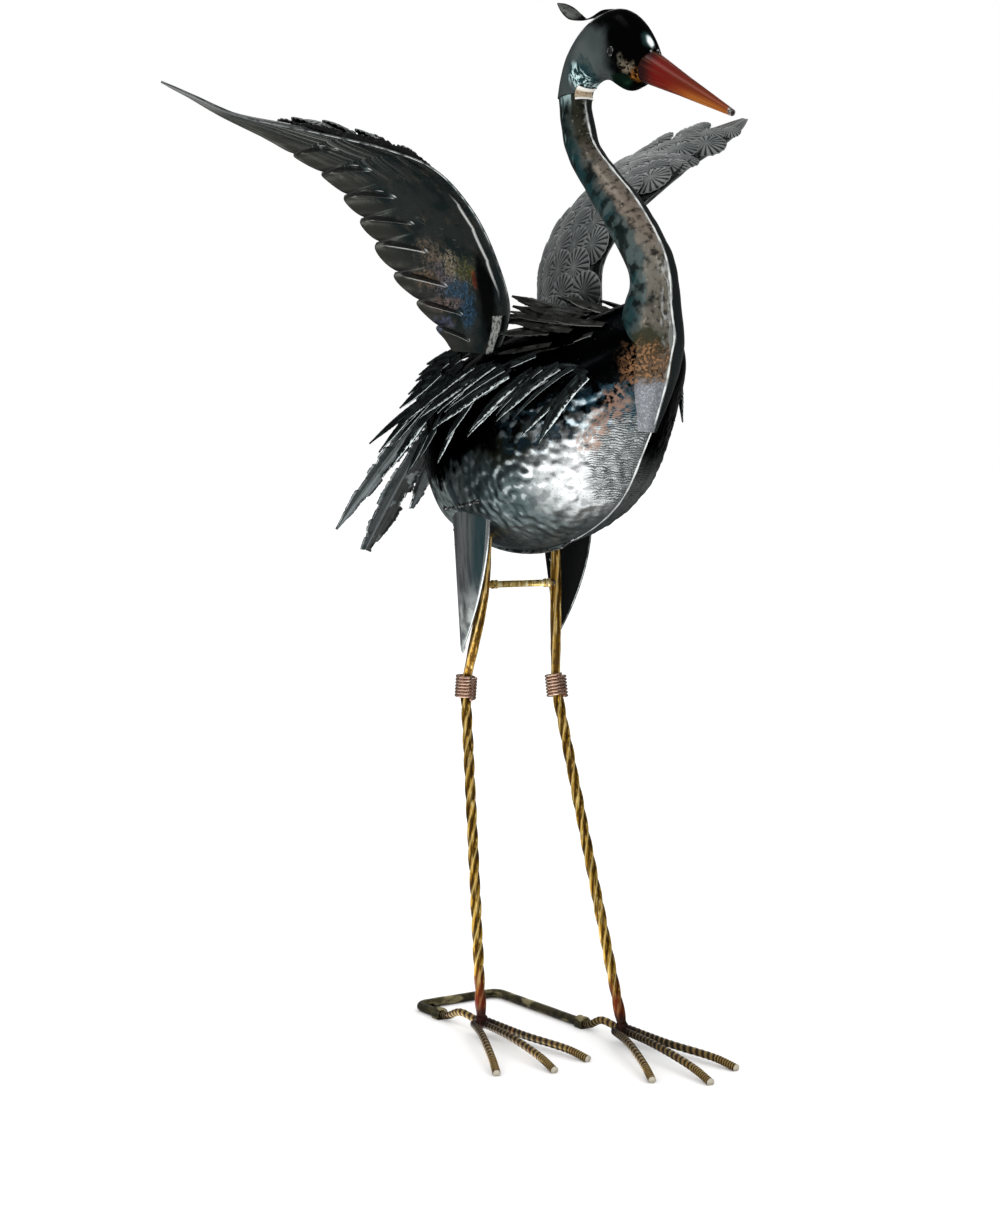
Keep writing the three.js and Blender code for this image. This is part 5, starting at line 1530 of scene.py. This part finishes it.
# weld spots: at both ends of the bar, and a dark one higher on the left leg
spots = [(barStart, 2.3), (barStart + up * 1.6, 1.5), (barEnd, 2.2), ((-33, 22.6, 281), 1.7)]
dropPiece("barWelds", spots, weldDark, "leg_gold", rough=0.35, pitch=700)
print("legs made")

# feet: ribbed rod, three toes forward and one back
feet = {
    "tips": {"right": [(47, -71), (60, -41), (52, -12)], "left": [(106, -8), (127, 16), (113, 46)]},
    "height": 7.2, "arch": [1.6, 0.6, -2.2], "bend": 0.82, "slope": 0.66, "claw": 0.72, "radius": 2.3,
    "rib": 0.24, "ribPitch": 3.4, "gap": 0.6,
    "weld": [((0, 0, 8.6), 4.1), ((2.5, 1.2, 7.2), 3.2), ((1.5, -2.2, 7.0), 3.1), ((-2, 0.4, 7.4), 2.8)],
}
loop = {
    "rear": -104, "right": -29, "left": 30.5, "end": {"right": -78, "left": -12}, "corner": 7, "radius": 2.8,
}
toeBronze = toeFinish()


def toePiece(name, node, curve):
    length = lengthOf(curve)

    # ribs run a little aslant round the rod
    def wave(u, angle):
        return math.sin(2 * math.pi * u * length / feet["ribPitch"] + math.sin(angle) * 1.4)

    def reach(u, angle):
        return feet["radius"] - feet["rib"] + feet["rib"] * smooth(wave(u, angle), -0.5, 0.6)

    rodPiece(name, curve, 130, 16, reach, toeBronze, "toe_bronze", [node], grounded=True,
             tone=lambda u, v: wave(u, v * 2 * math.pi))


for sideName in ("right", "left"):
    x, y, z = legs["ankle"][sideName]
    for k, tip in enumerate(feet["tips"][sideName]):
        offset = (k - 1) * (feet["radius"] * 2 + feet["gap"])
        start = Vector((x + 1 - abs(offset) * 0.2, y + offset, feet["height"]))
        end = Vector((*tip, feet["radius"] * feet["claw"]))
        bend = start.lerp(end, feet["bend"])
        bend.z = feet["height"] * feet["slope"] + feet["arch"][k] / 3
        rise = start.lerp(end, feet["bend"] * 0.45)
        rise.z = feet["height"] + feet["arch"][k]
        place = ("inner", "middle", "outer")[2 - k if sideName == "right" else k]
        toe = f"{sideName}_{place}"
        toePiece("toeRod_" + toe, "toe_" + toe, curveThrough([start, rise, bend, end]))
    start = Vector((loop["end"][sideName] + 0.3, loop[sideName], loop["radius"]))
    end = Vector((x - 0.8, y, feet["height"]))
    rise = start.lerp(end, 0.5)
    rise.z = feet["height"] + 1.5
    backCurve = curveThrough([start, start.lerp(end, 0.2), rise, end])
    toePiece("backToeRod_" + sideName, "back_toe_" + sideName, backCurve)

    # the weld that gathers leg and toes
    drops = [(Vector((x, y, 0)) + Vector(place), radius) for place, radius in feet["weld"]]
    dropPiece("ankleWeld_" + sideName, drops, legGold, "toe_bronze", rough=0.5)
print("feet made")

# base loop and its collars
radius = loop["radius"]
corners = []
for cx, cy, turn in ((loop["rear"] + loop["corner"], loop["right"] + loop["corner"], 1.5),
                     (loop["rear"] + loop["corner"], loop["left"] - loop["corner"], 1.0)):
    for k in range(9):
        angle = (turn - 0.5 * k / 8) * math.pi
        corners.append((cx + loop["corner"] * math.cos(angle), cy + loop["corner"] * math.sin(angle), radius))
wireEnds = {sideName: Vector((loop["end"][sideName], loop[sideName], radius)) for sideName, side in sides}
wirePath = lineThrough([wireEnds["right"], *corners, wireEnds["left"]])


def wireReach(u, angle):
    return radius * (0.97 - 0.03 * noise.noise(wirePath(u) / 6 + Vector((angle, 0, 0))))


rodPiece("baseWire", wirePath, 260, 16, wireReach, loopBronze, "loop_bronze", ["base_loop"])

collar = {"length": 7, "radius": 4.3, "bore": 2.7}
outer, bore, long = collar["radius"], collar["bore"], collar["length"]
profile = [(bore, 0), (outer - 0.5, 0), (outer, 0.5), (outer - 0.35, 2.6), (outer, 4.4), (outer, long - 0.5),
           (outer - 0.5, long), (bore, long), (bore, 0)]
for sideName, wireEnd in wireEnds.items():
    place = aimed(wireEnd - Vector((long / 2, 0, 0)), (1, 0, 0))
    turnedPiece("wireCollar_" + sideName, profile, 24, place, loopBronze, "loop_bronze",
                ["loop_collar_" + sideName], grounded=True)
print("base loop made")

# floor, lights and surroundings
studio = {
    "floor": 0.92, "floorSize": 40, "backdrop": 1.0, "fill": 1.22, "dark": 0.14,
    # name, place, size and brightness of each soft box
    "lights": [
        ("sideBox", (0.35, -1.9, 1.0), (0.5, 0.9), 2.0),
        ("topBox", (-0.4, -0.5, 2.0), (0.7, 0.4), 3.0),
        ("rimBox", (-1.6, 1.05, 1.45), (0.9, 0.4), 3.0),
        ("frontBox", (1.5, -0.1, 1.5), (0.3, 0.3), 5.0),
        ("lowBox", (1.5, -1.6, 0.5), (0.35, 0.3), 3.0)],
    "aim": (0, 0, 0.36),
    # pale card on the floor beside the bird, seen only in the metal that faces down
    "card": ((0.07, -0.24, 0.004), (0.85, 0.50), 1.45),
}
floorPaint = Finish("floor_pale", studio["floor"], 0.9, 0.0, gloss=0.0)
bm = newShape()
bmesh.ops.create_grid(bm, x_segments=2, y_segments=2, size=studio["floorSize"] / 2)
mesh = bpy.data.meshes.new("floor")
bm.to_mesh(mesh)
bm.free()
floor = bpy.data.objects.new("floor", mesh)
mesh.materials.append(floorPaint.done())
bpy.context.scene.collection.objects.link(floor)
floor.visible_glossy = False


def softLight(name, place, size, brightness, shape="RECTANGLE"):
    light = bpy.data.lights.new(name, "AREA")
    light.shape = shape
    light.size, light.size_y = size
    light.energy = brightness * math.pi * size[0] * size[1]
    lamp = bpy.data.objects.new(name, light)
    lamp.location = place
    lamp.rotation_euler = (Vector(studio["aim"]) - Vector(place)).to_track_quat("-Z", "Y").to_euler()
    bpy.context.scene.collection.objects.link(lamp)
    return lamp


for box in studio["lights"]:
    softLight(*box)
# an ellipse has pi / 4 of its rectangle's area
beneath = softLight("beneathCard", *studio["card"], shape="ELLIPSE")
beneath.data.energy *= math.pi / 4
beneath.rotation_euler = (math.pi, 0, 0)
beneath.visible_camera = False

# pale for the eye and for the soft fill, dark where the metal mirrors it
world = bpy.data.worlds.new("studio")
bpy.context.scene.world = world
world.use_nodes = True
links, nodes = world.node_tree.links, world.node_tree.nodes
ray = nodes.new("ShaderNodeLightPath")


def skyShade(key):
    shade = nodes.new("ShaderNodeBackground")
    shade.inputs[0].default_value = (1, 1, 1, 1)
    shade.inputs[1].default_value = studio[key]
    return shade.outputs[0]


def skyChoice(question, otherwise, chosen):
    choice = nodes.new("ShaderNodeMixShader")
    for socket, source in zip(choice.inputs, (ray.outputs[question], otherwise, chosen)):
        links.new(source, socket)
    return choice.outputs[0]


mirroredSky = skyChoice("Is Glossy Ray", skyShade("fill"), skyShade("dark"))
links.new(skyChoice("Is Camera Ray", mirroredSky, skyShade("backdrop")), nodes["World Output"].inputs[0])

# camera, at the photograph's viewing angle
camera = {
    "place": (1.0711, -0.7594, 0.3504), "heading": (-0.829, 0.559), "pitch": 4.05, "lens": 67.64, "sensor": 36,
    "reach": 50,
}
pitch = math.radians(camera["pitch"])
sight = Vector((*(part * math.cos(pitch) for part in camera["heading"]), -math.sin(pitch)))
lens = bpy.data.cameras.new("camera")
lens.lens = camera["lens"]
lens.sensor_width = camera["sensor"]
lens.clip_end = camera["reach"]
viewer = bpy.data.objects.new("camera", lens)
viewer.location = camera["place"]
viewer.rotation_euler = sight.to_track_quat("-Z", "Y").to_euler()
bpy.context.scene.collection.objects.link(viewer)
bpy.context.scene.camera = viewer
bpy.context.scene.view_settings.view_transform = "Standard"

print("scene made")
